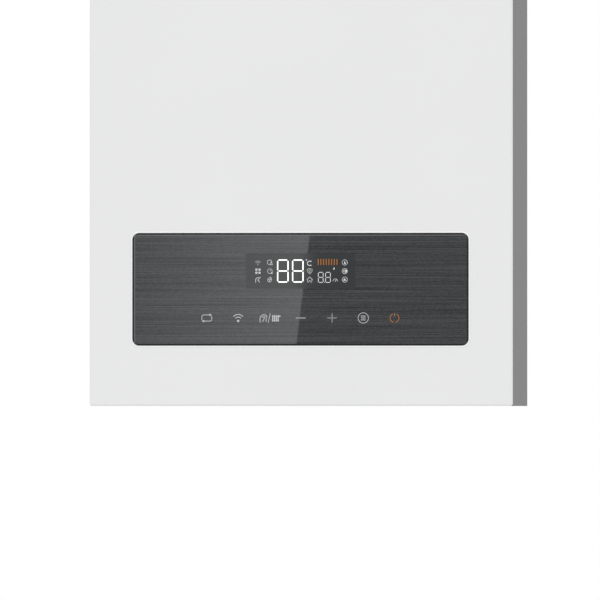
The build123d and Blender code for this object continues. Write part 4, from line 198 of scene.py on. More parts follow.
def drawn_metal(name, color, roughness, stain, stretch):
    """Bright drawn or turned metal with tool lines and a light stain."""
    made = Finish(name, color, roughness, metallic=1.0)
    made.tint(made.noise(30.0, detail=4.0), stain, amount=0.6)
    made.gloss(made.noise(700.0, stretch), roughness - 0.07, roughness + 0.1)
    return made.relief(made.noise(1100.0, stretch), 0.008)


GLASS_SPECULAR = 0.36
PANEL_STREAK = (7.0, 1.0, 1350.0)  # how many in a metre along x, y and z, as are the next three
PANEL_CLOUD = (14.0, 1.0, 300.0)
PANEL_GRAIN = (420.0, 1.0, 1150.0)
WINDOW_STREAK = (30.0, 1.0, 900.0)


def panel_print(name):
    """Back print of the glass: dark grey with fine horizontal brushing, under a clear front."""
    made = Finish(name, (0.0085, 0.0104, 0.0115), 0.01, Specular_IOR_Level=GLASS_SPECULAR)
    streaks = made.noise(1.0, PANEL_STREAK, detail=1.0)
    clouds = made.noise(1.0, PANEL_CLOUD)
    grain = made.noise(1.0, PANEL_GRAIN, detail=1.0)
    made.tint(streaks, (0.0475, 0.0535, 0.0575), start=0.32, end=0.68)
    made.tint(clouds, (0.0315, 0.0355, 0.038), amount=0.2, start=0.42, end=0.72)
    made.tint(grain, (0.0, 0.0, 0.0), amount=0.42, start=0.5, end=0.72)
    return made.tint(grain, (0.071, 0.078, 0.082), amount=0.22, start=0.5, end=0.3)


def circuit_board(name):
    """Green solder mask with finer lines of track and pale pads."""
    made = Finish(name, (0.02, 0.15, 0.05), 0.35)
    made.tint(made.cells(420.0, TRACKS), (0.03, 0.24, 0.08), amount=0.9, start=0.45, end=0.55)
    made.tint(made.cells(700.0), (0.75, 0.76, 0.72), amount=0.9, start=0.93, end=0.96)
    return made.relief(made.cells(420.0, TRACKS), 0.03)


def clear_glass(name):
    """Sight glass, faintly smudged."""
    made = Finish(name, (0.9, 0.95, 0.94), 0.03, Transmission_Weight=1.0, IOR=1.47)
    return made.gloss(made.noise(60.0), 0.02, 0.08)


def fibre_board(name):
    """Rough pressed fibre of the furnace's insulation."""
    made = Finish(name, (0.84, 0.81, 0.74), 0.95, Specular_IOR_Level=0.15)
    made.tint(made.noise(260.0, FIBRES, detail=5.0), (0.66, 0.62, 0.55))
    return made.relief(made.noise(600.0, FINE_FIBRES, detail=5.0), 0.4)


WHITE = (0.815, 0.817, 0.82)
GREY = (0.149, 0.149, 0.149)
COPPER, COPPER_STAIN = (0.72, 0.36, 0.22), (0.42, 0.2, 0.13)
FIN_COPPER, FIN_STAIN = (0.66, 0.38, 0.26), (0.4, 0.24, 0.17)
BRASS, BRASS_STAIN = (0.71, 0.53, 0.25), (0.5, 0.35, 0.16)
STEEL, STEEL_STAIN = (0.58, 0.57, 0.56), (0.5, 0.47, 0.42)
SCREW_ZINC, SCREW_STAIN = (0.66, 0.66, 0.64), (0.5, 0.49, 0.42)
RECIPES = {  # slot: kind of finish and what it is given after its name
    "white_paint": (powder_coat, WHITE, 0.35),
    "grey_paint": (powder_coat, GREY, 0.1),
    "bezel_plastic": (moulded, (0.93, 0.932, 0.935), 0.25, 200.0, 0.003, 0.985),
    "panel_glass": (panel_print,),
    "box_plastic": (moulded, (0.045, 0.047, 0.05), 0.55),
    "circuit_board": (circuit_board,),
    "zinc_sheet": (sheet_metal, (0.62, 0.63, 0.64), 0.42, 130.0),
    "zinc_screws": (drawn_metal, SCREW_ZINC, 0.32, SCREW_STAIN, ROUND),
    "aluminised_sheet": (sheet_metal, (0.6, 0.6, 0.59), 0.5, 420.0),
    "cast_aluminium": (cast_metal, (0.63, 0.64, 0.65), 0.45),
    "stainless": (drawn_metal, STEEL, 0.3, STEEL_STAIN, DRAWN),
    "copper": (drawn_metal, COPPER, 0.28, COPPER_STAIN, DRAWN),
    "fin_copper": (drawn_metal, FIN_COPPER, 0.4, FIN_STAIN, ROUND),
    "brass": (drawn_metal, BRASS, 0.34, BRASS_STAIN, ROUND),
    "fibre_board": (fibre_board,),
    "white_ceramic": (moulded, (0.84, 0.83, 0.79), 0.25, 120.0, 0.01),
    "black_rubber": (moulded, (0.025, 0.025, 0.026), 0.7, 500.0, 0.05),
    "grey_rubber": (moulded, (0.2, 0.2, 0.21), 0.9, 900.0, 0.25),
    "clear_glass": (clear_glass,),
    "red_paint": (powder_coat, (0.42, 0.02, 0.018), 0.4),
    "cast_iron_grey": (cast_metal, (0.12, 0.13, 0.14), 0.55, 0.3),
    "motor_paint": (cast_metal, (0.3, 0.31, 0.32), 0.5, 0.1),
    "black_plastic": (moulded, (0.028, 0.028, 0.03), 0.5),
    "red_plastic": (moulded, (0.5, 0.02, 0.018), 0.35, 400.0, 0.015),
    "blue_plastic": (moulded, (0.02, 0.09, 0.42), 0.35, 400.0, 0.015),
    "plastic_wheel": (moulded, (0.72, 0.72, 0.68), 0.4, 400.0, 0.015),
}
MATERIALS = {slot: recipe(slot, *values).material for slot, (recipe, *values) in RECIPES.items()}


def glass_print(name, color, second, roughness, specular, scale, stretch=ROUND):
    """Another print behind the glass, in two close tones; the edge's painted shade band and painted
    highlight band are made with it too.
    """
    made = Finish(name, color, roughness, Specular_IOR_Level=specular)
    return made.tint(made.noise(scale, stretch), second).material


WINDOW = glass_print(
    "display_window", (0.0192, 0.0222, 0.0238), (0.0245, 0.0277, 0.0292),
    roughness=0.05, specular=0.3, scale=1.0, stretch=WINDOW_STREAK,
)
# painted shade: near-black band round the glass's edge, standing in for the dark gap to the bezel and the
# bevel's dark reflection
PAINTED_SHADE_BORDER = glass_print(
    "glass_painted_shade", (0.0035, 0.0036, 0.0038), (0.006, 0.0062, 0.0065),
    roughness=0.08, specular=0.25, scale=300.0,
)
# painted highlight: pale band inside the dark edge band, along the top and left edges only, where light
# falls on the bevel
PAINTED_GLINT = glass_print(
    "glass_painted_glint", (0.125, 0.127, 0.128), (0.11, 0.112, 0.113),
    roughness=0.15, specular=GLASS_SPECULAR, scale=200.0,
)
UNLIT = 0.4  # share of its light's colour that a lit piece's surface has
DIMMEST = 0.93  # least share of its light
LIT_ROUGHNESS = LIT_SPECULAR = 0.2


def lit(name, color):
    """Lit display segment or backlit print, with a slightly uneven glow."""
    surface = scaled(color, UNLIT)
    made = Finish(name, surface, LIT_ROUGHNESS, Specular_IOR_Level=LIT_SPECULAR, Emission_Strength=1.0)
    mix = made.node("ShaderNodeMix", data_type="RGBA")
    mix.inputs[MIX_A].default_value = (*scaled(color, DIMMEST), 1.0)
    mix.inputs[MIX_B].default_value = (*color, 1.0)
    made.links.new(made.spread(made.noise(500.0), 0.0, 1.0), mix.inputs["Factor"])
    made.links.new(mix.outputs[MIX_RESULT], made.shader.inputs["Emission Color"])
    return made.material


LIT_WHITE = lit("lit_white", (1.0, 1.0, 1.0))
LIT_GREY = lit("lit_grey", (0.62, 0.625, 0.63))
LIT_SOFT = lit("lit_soft", (0.39, 0.395, 0.4))
LIT_DIM = lit("lit_dim", (0.22, 0.225, 0.23))
LIT_ORANGE = lit("lit_orange", (0.36, 0.115, 0.006))


def dress_nodes():
    """Every CAD node takes the finish of its own slot."""
    slots = {part["node"]: part["material_slot"] for part in frame["record"]["subparts"]}
    for name, node in frame["nodes"].items():
        for place in node.material_slots:
            place.material = MATERIALS[slots[name]]


# ---------------------------------------------------------------- building pieces
SHARP_ANGLE = math.radians(35)


def piece(name, verts, faces, material, body, slot, smooth=True):
    """New mesh from millimetre points, riding on a body."""
    mesh = bpy.data.meshes.new(name)
    mesh.from_pydata([Vector(v) * MM for v in verts], [], faces)
    mesh.validate()
    clean = bmesh.new()
    clean.from_mesh(mesh)
    bmesh.ops.recalc_face_normals(clean, faces=clean.faces)
    clean.to_mesh(mesh)
    clean.free()
    mesh.materials.append(material)
    made = add_object(name, mesh)
    if smooth:
        mesh.shade_smooth()
        mesh.set_sharp_from_angle(angle=SHARP_ANGLE)
    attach(made, body)
    return made


def joined(shapes):
    """Several (points, faces) shapes as one."""
    verts, faces = [], []
    for points, polygons in shapes:
        start = len(verts)
        verts += points
        faces += [[start + index for index in polygon] for polygon in polygons]
    return verts, faces


def skin(rings, closed=True):
    """Faces between rings of equally many points; closed joins the last ring to the first."""
    count = len(rings[0])
    verts = [point for ring in rings for point in ring]
    pairs = list(zip(range(len(rings)), range(1, len(rings))))
    if closed:
        pairs.append((len(rings) - 1, 0))
    faces = []
    for a, b in pairs:
        for k in range(count):
            following = (k + 1) % count
            faces.append([a * count + k, a * count + following, b * count + following, b * count + k])
    if not closed:
        faces.append(list(range(count))[::-1])
        faces.append([(len(rings) - 1) * count + k for k in range(count)])
    return verts, faces


def spun(x, y, stations, segments=48, closed=True):
    """Body turned about a vertical line; a station is (radius, z), or (function of the angle, z)."""
    rings = []
    for radius, z in stations:
        ring = []
        for k in range(segments):
            turn = 2 * math.pi * k / segments
            reach = radius(turn) if callable(radius) else radius
            ring.append((x + reach * math.cos(turn), y + reach * math.sin(turn), z))
        rings.append(ring)
    return skin(rings, closed)


def moved(shape, matrix):
    """Shape carried by a matrix."""
    points, faces = shape
    return [tuple(matrix @ Vector(point)) for point in points], faces


# ---------------------------------------------------------------- touch panel
glass_low, glass_high = (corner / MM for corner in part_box("touch_glass"))
GLASS_CORNER_MM = 6.5
GLASS_EDGE_MM = 0.8
GLASS_BORDER_MM = 1.5  # painted shade along the glass's edge, bevel included: a near-black band for the dark gap and the bevel's dark reflection
PAINTED_GLINT_MM = 0.9  # painted highlight inside it, a pale band along the top and the left
PAINTED_SHADE_INDEX, PAINTED_GLINT_INDEX = 1, 2  # the touch panel's material slots
CORNER_STEPS, SMALL_CORNER_STEPS = 8, 3
EDGE_STEPS = 4
WINDOW_DEPTH_MM = 0.02
PRINT_DEPTH_MM = 0.04
glass_face = glass_low.y + WINDOW_DEPTH_MM + PRINT_DEPTH_MM
window_face = glass_face - WINDOW_DEPTH_MM
print_face = window_face - PRINT_DEPTH_MM


def rounded_outline(x0, x1, z0, z1, corner, steps=CORNER_STEPS):
    """Rectangle with rounded corners, as (x, z) points."""
    outline = []
    centres = ((x1 - corner, z1 - corner), (x0 + corner, z1 - corner),
               (x0 + corner, z0 + corner), (x1 - corner, z0 + corner))
    for quarter, (cx, cz) in enumerate(centres):
        for k in range(steps + 1):
            turn = math.pi / 2 * (quarter + k / steps)
            outline.append((cx + corner * math.cos(turn), cz + corner * math.sin(turn)))
    return outline


def touch_panel():
    """Glass with a rounded polished edge; its front lies just behind the print."""
    levels = [(0.0, glass_high.y)]
    for k in range(EDGE_STEPS + 1):
        turn = math.pi / 2 * k / EDGE_STEPS
        inset = GLASS_EDGE_MM * (1 - math.cos(turn))
        levels.append((inset, glass_face + GLASS_EDGE_MM * (1 - math.sin(turn))))
    levels += [(GLASS_BORDER_MM, glass_face), (GLASS_BORDER_MM + PAINTED_GLINT_MM, glass_face)]
    rings = []
    for inset, y in levels:
        outline = rounded_outline(
            glass_low.x + inset, glass_high.x - inset, glass_low.z + inset, glass_high.z - inset,
            GLASS_CORNER_MM - inset,
        )
        rings.append([(x, y, z) for x, z in outline])
    shape = skin(rings, closed=False)
    made = piece("touch_panel", *shape, MATERIALS["panel_glass"], "control_box", "panel_glass")
    made.data.materials.append(PAINTED_SHADE_BORDER)
    made.data.materials.append(PAINTED_GLINT)
    for face in made.data.polygons:
        x, z = face.center.x / MM, face.center.z / MM
        left, top = x - glass_low.x, glass_high.z - z
        inset = min(left, top, glass_high.x - x, z - glass_low.z)
        # painted shade band, on every edge
        if inset < GLASS_BORDER_MM:
            face.material_index = PAINTED_SHADE_INDEX
        # painted highlight band, on the top and left edges only
        elif inset < GLASS_BORDER_MM + PAINTED_GLINT_MM and inset in (left, top):
            face.material_index = PAINTED_GLINT_INDEX
    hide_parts("touch_glass")


def printed(name, shapes, material, back=window_face, front=print_face):
    """Flat shapes, as (x, z) outlines, raised by a hair on the glass."""
    solids = []
    for outline in shapes:
        rings = [[(x, y, z) for x, z in outline] for y in (back, front)]
        solids.append(skin(rings, closed=False))
    return piece(name, *joined(solids), material, "control_box", "panel_glass", smooth=False)


STROKE_OVERLAP = 0.6  # of half the width, past each end of a run


def stroke(points, width):
    """Line of even width through points, one four-sided shape for each run."""
    shapes = []
    for (x0, z0), (x1, z1) in zip(points, points[1:]):
        length = math.hypot(x1 - x0, z1 - z0)
        dx, dz = (x1 - x0) / length * width / 2, (z1 - z0) / length * width / 2
        ox, oz = dx * STROKE_OVERLAP, dz * STROKE_OVERLAP
        shapes.append([
            (x0 - ox - dz, z0 - oz + dx), (x0 - ox + dz, z0 - oz - dx),
            (x1 + ox + dz, z1 + oz - dx), (x1 + ox - dz, z1 + oz + dx),
        ])
    return shapes


def arc(x, z, radius, width, start=0.0, end=360.0, steps=24):
    """Part of a ring, from start to end degrees, anticlockwise from the right."""
    shapes = []
    for k in range(steps):
        turns = [math.radians(start + (end - start) * (k + side) / steps) for side in (0, 1)]
        inner, outer = radius - width / 2, radius + width / 2
        sides = ((inner, 0), (outer, 0), (outer, 1), (inner, 1))
        corners = [(reach, turns[side]) for reach, side in sides]
        shapes.append([(x + reach * math.cos(t), z + reach * math.sin(t)) for reach, t in corners])
    return shapes


def dot(x, z, radius, steps=20):
    """Filled circle."""
    turns = [2 * math.pi * k / steps for k in range(steps)]
    return [[(x + radius * math.cos(turn), z + radius * math.sin(turn)) for turn in turns]]


def bar(x0, z0, x1, z1):
    """Upright or level rectangle between two corners."""
    return [[(x0, z0), (x1, z0), (x1, z1), (x0, z1)]]


def placed(shapes, x, z, size):
    """Shapes drawn round (0, 0) with a half-size of 1, moved to their place."""
    return [[(x + size * px, z + size * pz) for px, pz in outline] for outline in shapes]


def segments(x, z, width, height, line, gap, tip):
    """All seven segments of a display digit, lower left corner at (x, z)."""
    half, middle = line / 2, z + height / 2
    shapes = []
    for level in (z + half, middle, z + height - half):
        left, right = x + half + gap, x + width - half - gap
        shapes.append([
            (left, level), (left + tip, level - half), (right - tip, level - half),
            (right, level), (right - tip, level + half), (left + tip, level + half),
        ])
    for column in (x + half, x + width - half):
        for low, high in ((z + half, middle), (middle, z + height - half)):
            low, high = low + gap, high - gap
            shapes.append([
                (column, low), (column + half, low + tip), (column + half, high - tip),
                (column, high), (column - half, high - tip), (column - half, low + tip),
            ])
    return shapes


# generic pictograms, each drawn in a square from -1 to 1
def wireless(line):
    """Dot with two arcs over it."""
    shapes = dot(0.0, -0.72, 0.23)
    for radius in (0.72, 1.22):
        shapes += arc(0.0, -0.72, radius, line, 42, 138, 12)
    return shapes


def four_squares():
    """Two rows of two."""
    starts, side = (-0.95, 0.15), 0.8
    places = [(x, z) for x in starts for z in starts]
    return [rounded_outline(x, x + side, z, z + side, 0.2, SMALL_CORNER_STEPS) for x, z in places]


def tap():
    """Spout with its lever and a stream."""
    shapes = arc(0.15, -0.25, 0.95, 0.24, 75, 180, 12) + stroke([(-0.15, -0.25), (0.85, 0.85)], 0.2)
    shapes += stroke([(-0.8, -0.25), (-0.75, -0.9)], 0.24)
    return shapes + stroke([(0.15, -0.1), (0.5, -0.9)], 0.22)


def clock():
    """Open ring with a bell under it."""
    shapes = arc(-0.08, 0.08, 0.78, 0.18, 0, 290, 20)
    return shapes + stroke([(0.45, 0.3), (0.1, -0.75), (0.85, -0.75), (0.45, 0.3)], 0.2)


def cycle():
    """Open ring with a dot at its gap."""
    shapes = arc(0, 0, 0.8, 0.17, -25, 300, 20) + dot(0.62, -0.62, 0.32)
    return shapes + stroke([(0.1, 0.1), (0.3, 0.3)], 0.2)


def leaf():
    """Blade with its veins."""
    blade = [(-0.85, -0.1), (-0.35, 0.55), (0.3, 0.9), (0.55, 0.35)]
    blade += [(0.6, -0.3), (0.1, -0.85), (-0.5, -0.75), blade[0]]
    shapes = stroke(blade, 0.16) + stroke([(-0.3, -0.7), (0.25, 0.6)], 0.2)
    return shapes + stroke([(-0.05, -0.1), (0.5, 0.1)], 0.2) + stroke([(-0.7, 0.25), (-0.2, -0.15)], 0.2)


def shield():
    """Rim round a dot and two arcs."""
    rim = [(-0.85, 0.62), (0.0, 0.92), (0.85, 0.62), (0.75, -0.15), (0.0, -0.95), (-0.75, -0.15)]
    shapes = stroke(rim + rim[:1], 0.16) + arc(0.0, -0.3, 0.75, 0.15, 52, 128, 8)
    return shapes + arc(0.0, -0.3, 0.4, 0.15, 48, 132, 6) + dot(0.0, -0.3, 0.16)


def house():
    """Roof over two walls and a small gable."""
    shapes = stroke([(-0.95, -0.05), (0.0, 0.9), (0.95, -0.05)], 0.2)
    shapes += stroke([(-0.72, -0.1), (-0.72, -0.75), (-0.4, -0.95)], 0.16)
    shapes += stroke([(0.72, -0.1), (0.72, -0.75), (0.4, -0.95)], 0.16)
    return shapes + stroke([(-0.35, -0.65), (0.0, -0.25), (0.35, -0.65)], 0.18)


def ringed(inside, radius=0.9, line=0.11, size=0.85):
    """Pictogram in a ring."""
    return arc(0, 0, radius, line) + placed(inside, 0.0, 0.0, size)


def person():
    """Dot over three short lines."""
    legs = stroke([(-0.35, -0.5), (0.0, -0.05), (0.35, -0.5)], 0.2)
    return dot(0.0, 0.2, 0.22) + legs + stroke([(0.0, 0.0), (0.0, -0.55)], 0.16)


def half_moon():
    """Half disc beside two lines."""
    shapes = arc(0.15, 0, 0.42, 0.5, -80, 80, 14) + stroke([(-0.2, 0.62), (-0.2, -0.62)], 0.14)
    return shapes + stroke([(-0.45, 0.4), (-0.45, -0.4)], 0.14)


def slope():
    """Two slanted lines and a dot."""
    shapes = stroke([(-0.5, 0.05), (0.0, 0.45)], 0.18) + stroke([(0.1, 0.1), (-0.4, -0.5)], 0.3)
    return shapes + dot(0.35, -0.2, 0.2)


def flame():
    """Plain flame in one piece."""
    right = [(0.0, 1.0), (0.55, 0.2), (0.6, -0.4), (0.3, -0.85)]
    return [right + [(-0.3, -0.85), (-0.6, -0.4), (-0.45, 0.0), (-0.15, 0.1)]]


def gauge():
    """Dial's arc with its needle."""
    needle = stroke([(0.0, -0.3), (0.5, 0.4)], 0.2) + dot(0.0, -0.3, 0.18)
    return arc(0, -0.3, 0.95, 0.2, 0, 180, 14) + needle


def repeat_key():
    """Two arrows that follow each other round a rounded rectangle."""
    top = arc(-0.55, 0.2, 0.38, 0.12, 90, 180, 6) + bar(-0.55, 0.52, 0.55, 0.64)
    top += bar(-0.99, -0.4, -0.87, 0.2) + [[(0.5, 0.84), (0.92, 0.58), (0.5, 0.32)]]
    return top + [[(-px, -pz) for px, pz in outline] for outline in top]


def shower_key():
    """Shower head on its bent pipe."""
    shapes = stroke([(-1.0, -0.9), (-1.0, 0.0), (-0.72, 0.5), (-0.2, 0.72), (0.3, 0.6), (0.5, 0.2)], 0.16)
    shapes += stroke([(0.0, 0.1), (-0.45, -0.8)], 0.15) + stroke([(0.35, 0.0), (0.3, -0.8)], 0.15)
    return shapes + stroke([(-0.55, 0.15), (0.1, 0.3)], 0.15)


def radiator_key():
    """Four columns joined by two rails, with a valve."""
    starts = [-0.85 + 0.42 * k for k in range(4)]
    shapes = [rounded_outline(x, x + 0.26, -0.85, 0.7, 0.1, SMALL_CORNER_STEPS) for x in starts]
    return shapes + bar(-0.85, 0.28, 0.9, 0.4) + bar(-0.85, -0.62, 0.7, -0.5) + dot(0.88, 0.4, 0.2)


def menu_key():
    """Three level lines."""
    return [line for z in (-0.34, 0.0, 0.34) for line in bar(-0.42, z - 0.06, 0.42, z + 0.06)]


def letter_c(x, z, size, line):
    """C of the temperature's unit: a round back with two level ends."""
    bend, end = size * 0.42, x + size * 0.8
    shapes = arc(x + bend, z, bend, line, 45, 315, 16)
    for level in (z + bend, z - bend):
        shapes += bar(x + bend, level - line / 2, end, level + line / 2)
    return shapes


# places and sizes on the panel, in millimetres
WINDOW_X, WINDOW_Z = (-54.0, 54.8), (116.7, 151.5)
WINDOW_CORNER = 0.8
ICON, RING_ICON = 2.95, 2.9  # half-sizes
ICON_ROWS = (142.5, 133.9, 125.5)
OUTER_COLUMN, INNER_COLUMN, UNIT_COLUMN, RIGHT_COLUMN = -42.2, -30.3, 9.3, 44.2
FLAME_PLACE = (33.4, 136.6, 1.5)  # x, z and half-size
GAUGE_PLACE = (34.8, 124.6, 2.5)
DIGITS_X, DIGIT_WIDTH = (-23.2, -8.3), 11.6
DIGIT_LOW, DIGIT_HEIGHT, DIGIT_LINE = 122.5, 23.1, 1.3
DIGIT_GAP, DIGIT_TIP = 0.5, 0.6
SMALL_X, SMALL_WIDTH = (17.6, 24.8), 5.4
SMALL_LOW, SMALL_HEIGHT, SMALL_LINE = 122.4, 10.6, 0.6
SMALL_GAP, SMALL_TIP = 0.4, 0.3
DECIMAL_POINT = (24.0, 122.8, 0.35)  # x, z and radius
LETTER_C = (7.0, 141.7, 5.1, 0.6)  # left edge, middle, size and line
DEGREE_RING = (6.0, 145.0, 0.5, 0.35)  # x, z, radius and line
BAR_COUNT, BAR_FIRST, BAR_PITCH, BAR_WIDTH = 8, 17.4, 2.66, 0.8
BAR_LOW, BAR_HIGH = 140.1, 146.0


def display():
    """Slightly darker window with its digits, pictograms and level bars."""
    window = rounded_outline(*WINDOW_X, *WINDOW_Z, WINDOW_CORNER, SMALL_CORNER_STEPS)
    printed("display_window", [window], WINDOW, back=glass_face, front=window_face)
    digits = []
    for x in DIGITS_X:
        digits += segments(x, DIGIT_LOW, DIGIT_WIDTH, DIGIT_HEIGHT, DIGIT_LINE, DIGIT_GAP, DIGIT_TIP)
    printed("main_digits", digits, LIT_WHITE)

    small = dot(*DECIMAL_POINT)
    for x in SMALL_X:
        small += segments(x, SMALL_LOW, SMALL_WIDTH, SMALL_HEIGHT, SMALL_LINE, SMALL_GAP, SMALL_TIP)
    printed("pressure_digits", small + letter_c(*LETTER_C) + arc(*DEGREE_RING), LIT_GREY)

    bars = []
    for k in range(BAR_COUNT):
        x = BAR_FIRST + BAR_PITCH * k
        bars += bar(x, BAR_LOW, x + BAR_WIDTH, BAR_HIGH)
    printed("level_bars", bars, LIT_ORANGE)

    top, middle, bottom = ICON_ROWS
    printed("link_icon", placed(wireless(0.24), OUTER_COLUMN, top, ICON), LIT_DIM)
    soft = placed(flame(), *FLAME_PLACE) + placed(gauge(), *GAUGE_PLACE)
    soft += placed(four_squares(), OUTER_COLUMN, middle, ICON * 0.95)
    soft += placed(tap(), OUTER_COLUMN, bottom, ICON)
    for z, drawing in zip(ICON_ROWS, (clock(), cycle(), leaf())):
        soft += placed(drawing, INNER_COLUMN, z, ICON)
    soft += placed(shield(), UNIT_COLUMN, middle, ICON) + placed(house(), UNIT_COLUMN, bottom, ICON)
    printed("left_icons", soft, LIT_SOFT)

    bright = []
    for z, drawing in zip(ICON_ROWS, (person(), half_moon(), slope())):
        bright += placed(ringed(drawing), RIGHT_COLUMN, z, RING_ICON)
    printed("right_icons", bright, LIT_GREY)


KEY_ROW = 87.4
REPEAT_PLACE = (-93.1, KEY_ROW, 5.3)  # x, z and half-size
WIRELESS_PLACE = (-61.9, KEY_ROW + 0.9, 5.2)
SHOWER_PLACE = (-35.5, KEY_ROW, 4.6)
RADIATOR_PLACE = (-24.4, KEY_ROW, 4.3)
MENU_PLACE = (62.6, KEY_ROW, 5.6)
POWER_PLACE = (93.7, KEY_ROW, 4.8)
SLASH = ((-31.9, KEY_ROW - 4.3), (-29.9, KEY_ROW + 4.6))
MINUS = (-4.6, KEY_ROW - 0.6, 5.3, KEY_ROW + 0.6)  # opposite corners, as are the next three
PLUS_LEVEL = (26.9, KEY_ROW - 0.4, 36.3, KEY_ROW + 0.4)
PLUS_UPRIGHT = (31.2, KEY_ROW - 4.6, 32.0, KEY_ROW + 4.6)
POWER_BAR = (93.4, KEY_ROW + 1.8, 94.0, KEY_ROW + 4.6)


def keys():
    """Row of touch keys under the window."""
    row = placed(repeat_key(), *REPEAT_PLACE) + placed(wireless(0.15), *WIRELESS_PLACE)
    row += placed(shower_key(), *SHOWER_PLACE) + placed(radiator_key(), *RADIATOR_PLACE)
    row += stroke(SLASH, 0.6) + placed(ringed(menu_key(), 0.92, 0.1, 1.0), *MENU_PLACE)
    printed("touch_keys", row, LIT_SOFT, back=glass_face)

    steps = bar(*MINUS) + bar(*PLUS_LEVEL) + bar(*PLUS_UPRIGHT) + bar(*POWER_BAR)
    printed("step_keys", steps, LIT_DIM, back=glass_face)

    halves = arc(0, 0, 0.92, 0.13, 114, 254, 14) + arc(0, 0, 0.92, 0.13, -74, 66, 14)
    printed("power_key", placed(halves, *POWER_PLACE), LIT_ORANGE, back=glass_face)


# ---------------------------------------------------------------- threads, nuts and screws
THREAD_ROWS = 7  # rings of points in each turn of a thread
CREST_SLOPE, CREST_DROP = 1.35, 0.12  # flatten a thread's crests and roots
CHAMFER_STEPS = 3
CHAMFER_RISE = 0.55  # of how far the corners stand out


def thread_radius(z, low, high, radius, pitch, depth):
    """Radius of a thread at one height, as a function of the angle; it runs out at both ends."""
    fade = max(0.0, min(1.0, (z - low) / pitch, (high - z) / pitch))

    def reach(turn):
        phase = (z / pitch - turn / (2 * math.pi)) % 1.0
        ridge = min(1.0, max(0.0, CREST_SLOPE * (1 - abs(2 * phase - 1)) - CREST_DROP))
        return radius - depth * (1 - ridge * fade)

    return reach


def threaded(low, high, radius, pitch, depth):
    """Stations of a threaded stretch, from low to high."""
    rows = round((high - low) / pitch * THREAD_ROWS)
    heights = [low + (high - low) * k / rows for k in range(rows + 1)]
    return [(thread_radius(z, low, high, radius, pitch, depth), z) for z in heights]


def hexagon_radius(half_flats, limit):
    """Radius of a hexagon at one height, cut by its chamfer."""

    def reach(turn):
        return min(limit, half_flats / math.cos((turn % (math.pi / 3)) - math.pi / 6))

    return reach


def chamfered_nut(x, y, low, high, half_flats, bore, segments=96):
    """Hexagon nut with its corners turned off at both faces."""
    cut = half_flats / math.cos(math.pi / 6) - half_flats
    shares = [k / CHAMFER_STEPS for k in range(CHAMFER_STEPS + 1)]
    lower = [(half_flats + cut * share, low + cut * CHAMFER_RISE * share) for share in shares]
    upper = [(limit, high - (z - low)) for limit, z in reversed(lower)]
    outside = [(hexagon_radius(half_flats, limit), z) for limit, z in lower + upper]
    return spun(x, y, outside + [(bore, high), (bore, low)], segments)


def cross_radius(arm, half):
    """Radius of an upright cross with arms that long and twice half wide."""

    def reach(turn):
        folded = abs((turn + math.pi / 4) % (math.pi / 2) - math.pi / 4)
        return min(arm / math.cos(folded), half / max(math.sin(folded), 1e-6))

    return reach


HEAD_HEIGHT_MM = 2.2
HEAD_PROFILE = ((1.0, 0.0), (1.0, 0.42), (0.93, 0.72), (0.78, 0.93), (0.6, 1.0))  # shares of radius, height
RECESS_DEPTH = 0.65  # of the head's height
RECESS_CROSSES = ((0.52, 0.13), (0.4, 0.1))  # arm and half-width at its top and foot, shares of the radius
RECESS_POINT = 0.02
SCREW_PITCH_MM = 1.0
SCREW_THREAD_MM = 0.35
SCREW_TIP = (0.05, 0.6)  # shares of the shank's radius
THREAD_START_MM, THREAD_END_MM = 0.5, 0.4  # from the shank's tip and from the head


def pan_screw(place, turn, head, shank, length):
    """Pan-head screw with a cross recess; its head stands up from the place before the turn about x."""
    top, foot = HEAD_HEIGHT_MM, HEAD_HEIGHT_MM * (1 - RECESS_DEPTH)
    low, high = THREAD_START_MM - length, -THREAD_END_MM
    stations = [(shank * share, -length) for share in SCREW_TIP]
    stations += threaded(low, high, shank, SCREW_PITCH_MM, SCREW_THREAD_MM) + [(shank, 0.0)]
    stations += [(head * across, top * up) for across, up in HEAD_PROFILE]
    for (arm, half), z in zip(RECESS_CROSSES, (top, foot)):
        stations.append((cross_radius(head * arm, head * half), z))
    stations.append((head * RECESS_POINT, foot))
    move = Matrix.Translation(place) @ Matrix.Rotation(math.radians(turn), 4, "X")
    return moved(spun(0.0, 0.0, stations, 40, closed=False), move)


def corners_of(node):
    """Lowest and highest corners of a CAD node, in millimetres."""
    low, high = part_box(node)
    return low / MM, high / MM


CASE_HEIGHT_MM = 740.0
SCREW_HEAD_MM, LID_SHANK_MM, COVER_SHANK_MM = 4.0, 1.9, 2.0  # radii, as are the flue screws'
LID_SCREW_ROWS = 4
NUT_FLATS_MM, NUT_HEIGHT_MM = 7.0, 3.0
NUT_BITE_MM = 0.3  # how far its bore is inside the thread
NUT_PLAY_MM = 0.05  # keeps its faces out of the plane or thread that they meet
FLUE_HEAD_MM, FLUE_SHANK_MM, FLUE_LENGTH_MM = 4.5, 2.5, 10.0
FLUE_SCREWS_MM = ((0.0, -190.0), 58.0)  # middle and radius of their circle
FLUE_SCREW_TURNS = (45, 135, 225, 315)
CLIP_MM, CLIP_BORE_MM, CLIP_LENGTH_MM = 6.0, 3.3, 8.0
CLIP_FLANGE_MM, CLIP_CHAMFER_MM = 1.2, 0.2
FINGER_LEVELS_MM = ((4.9, 1.0), (4.7, 3.5), (4.5, 6.0), (4.9, 7.2), (5.1, CLIP_LENGTH_MM))  # radius, height
FINGER_THICK_MM = 1.1
FINGER_HALF_WIDTH = 34  # degrees
FINGER_STEPS = 8


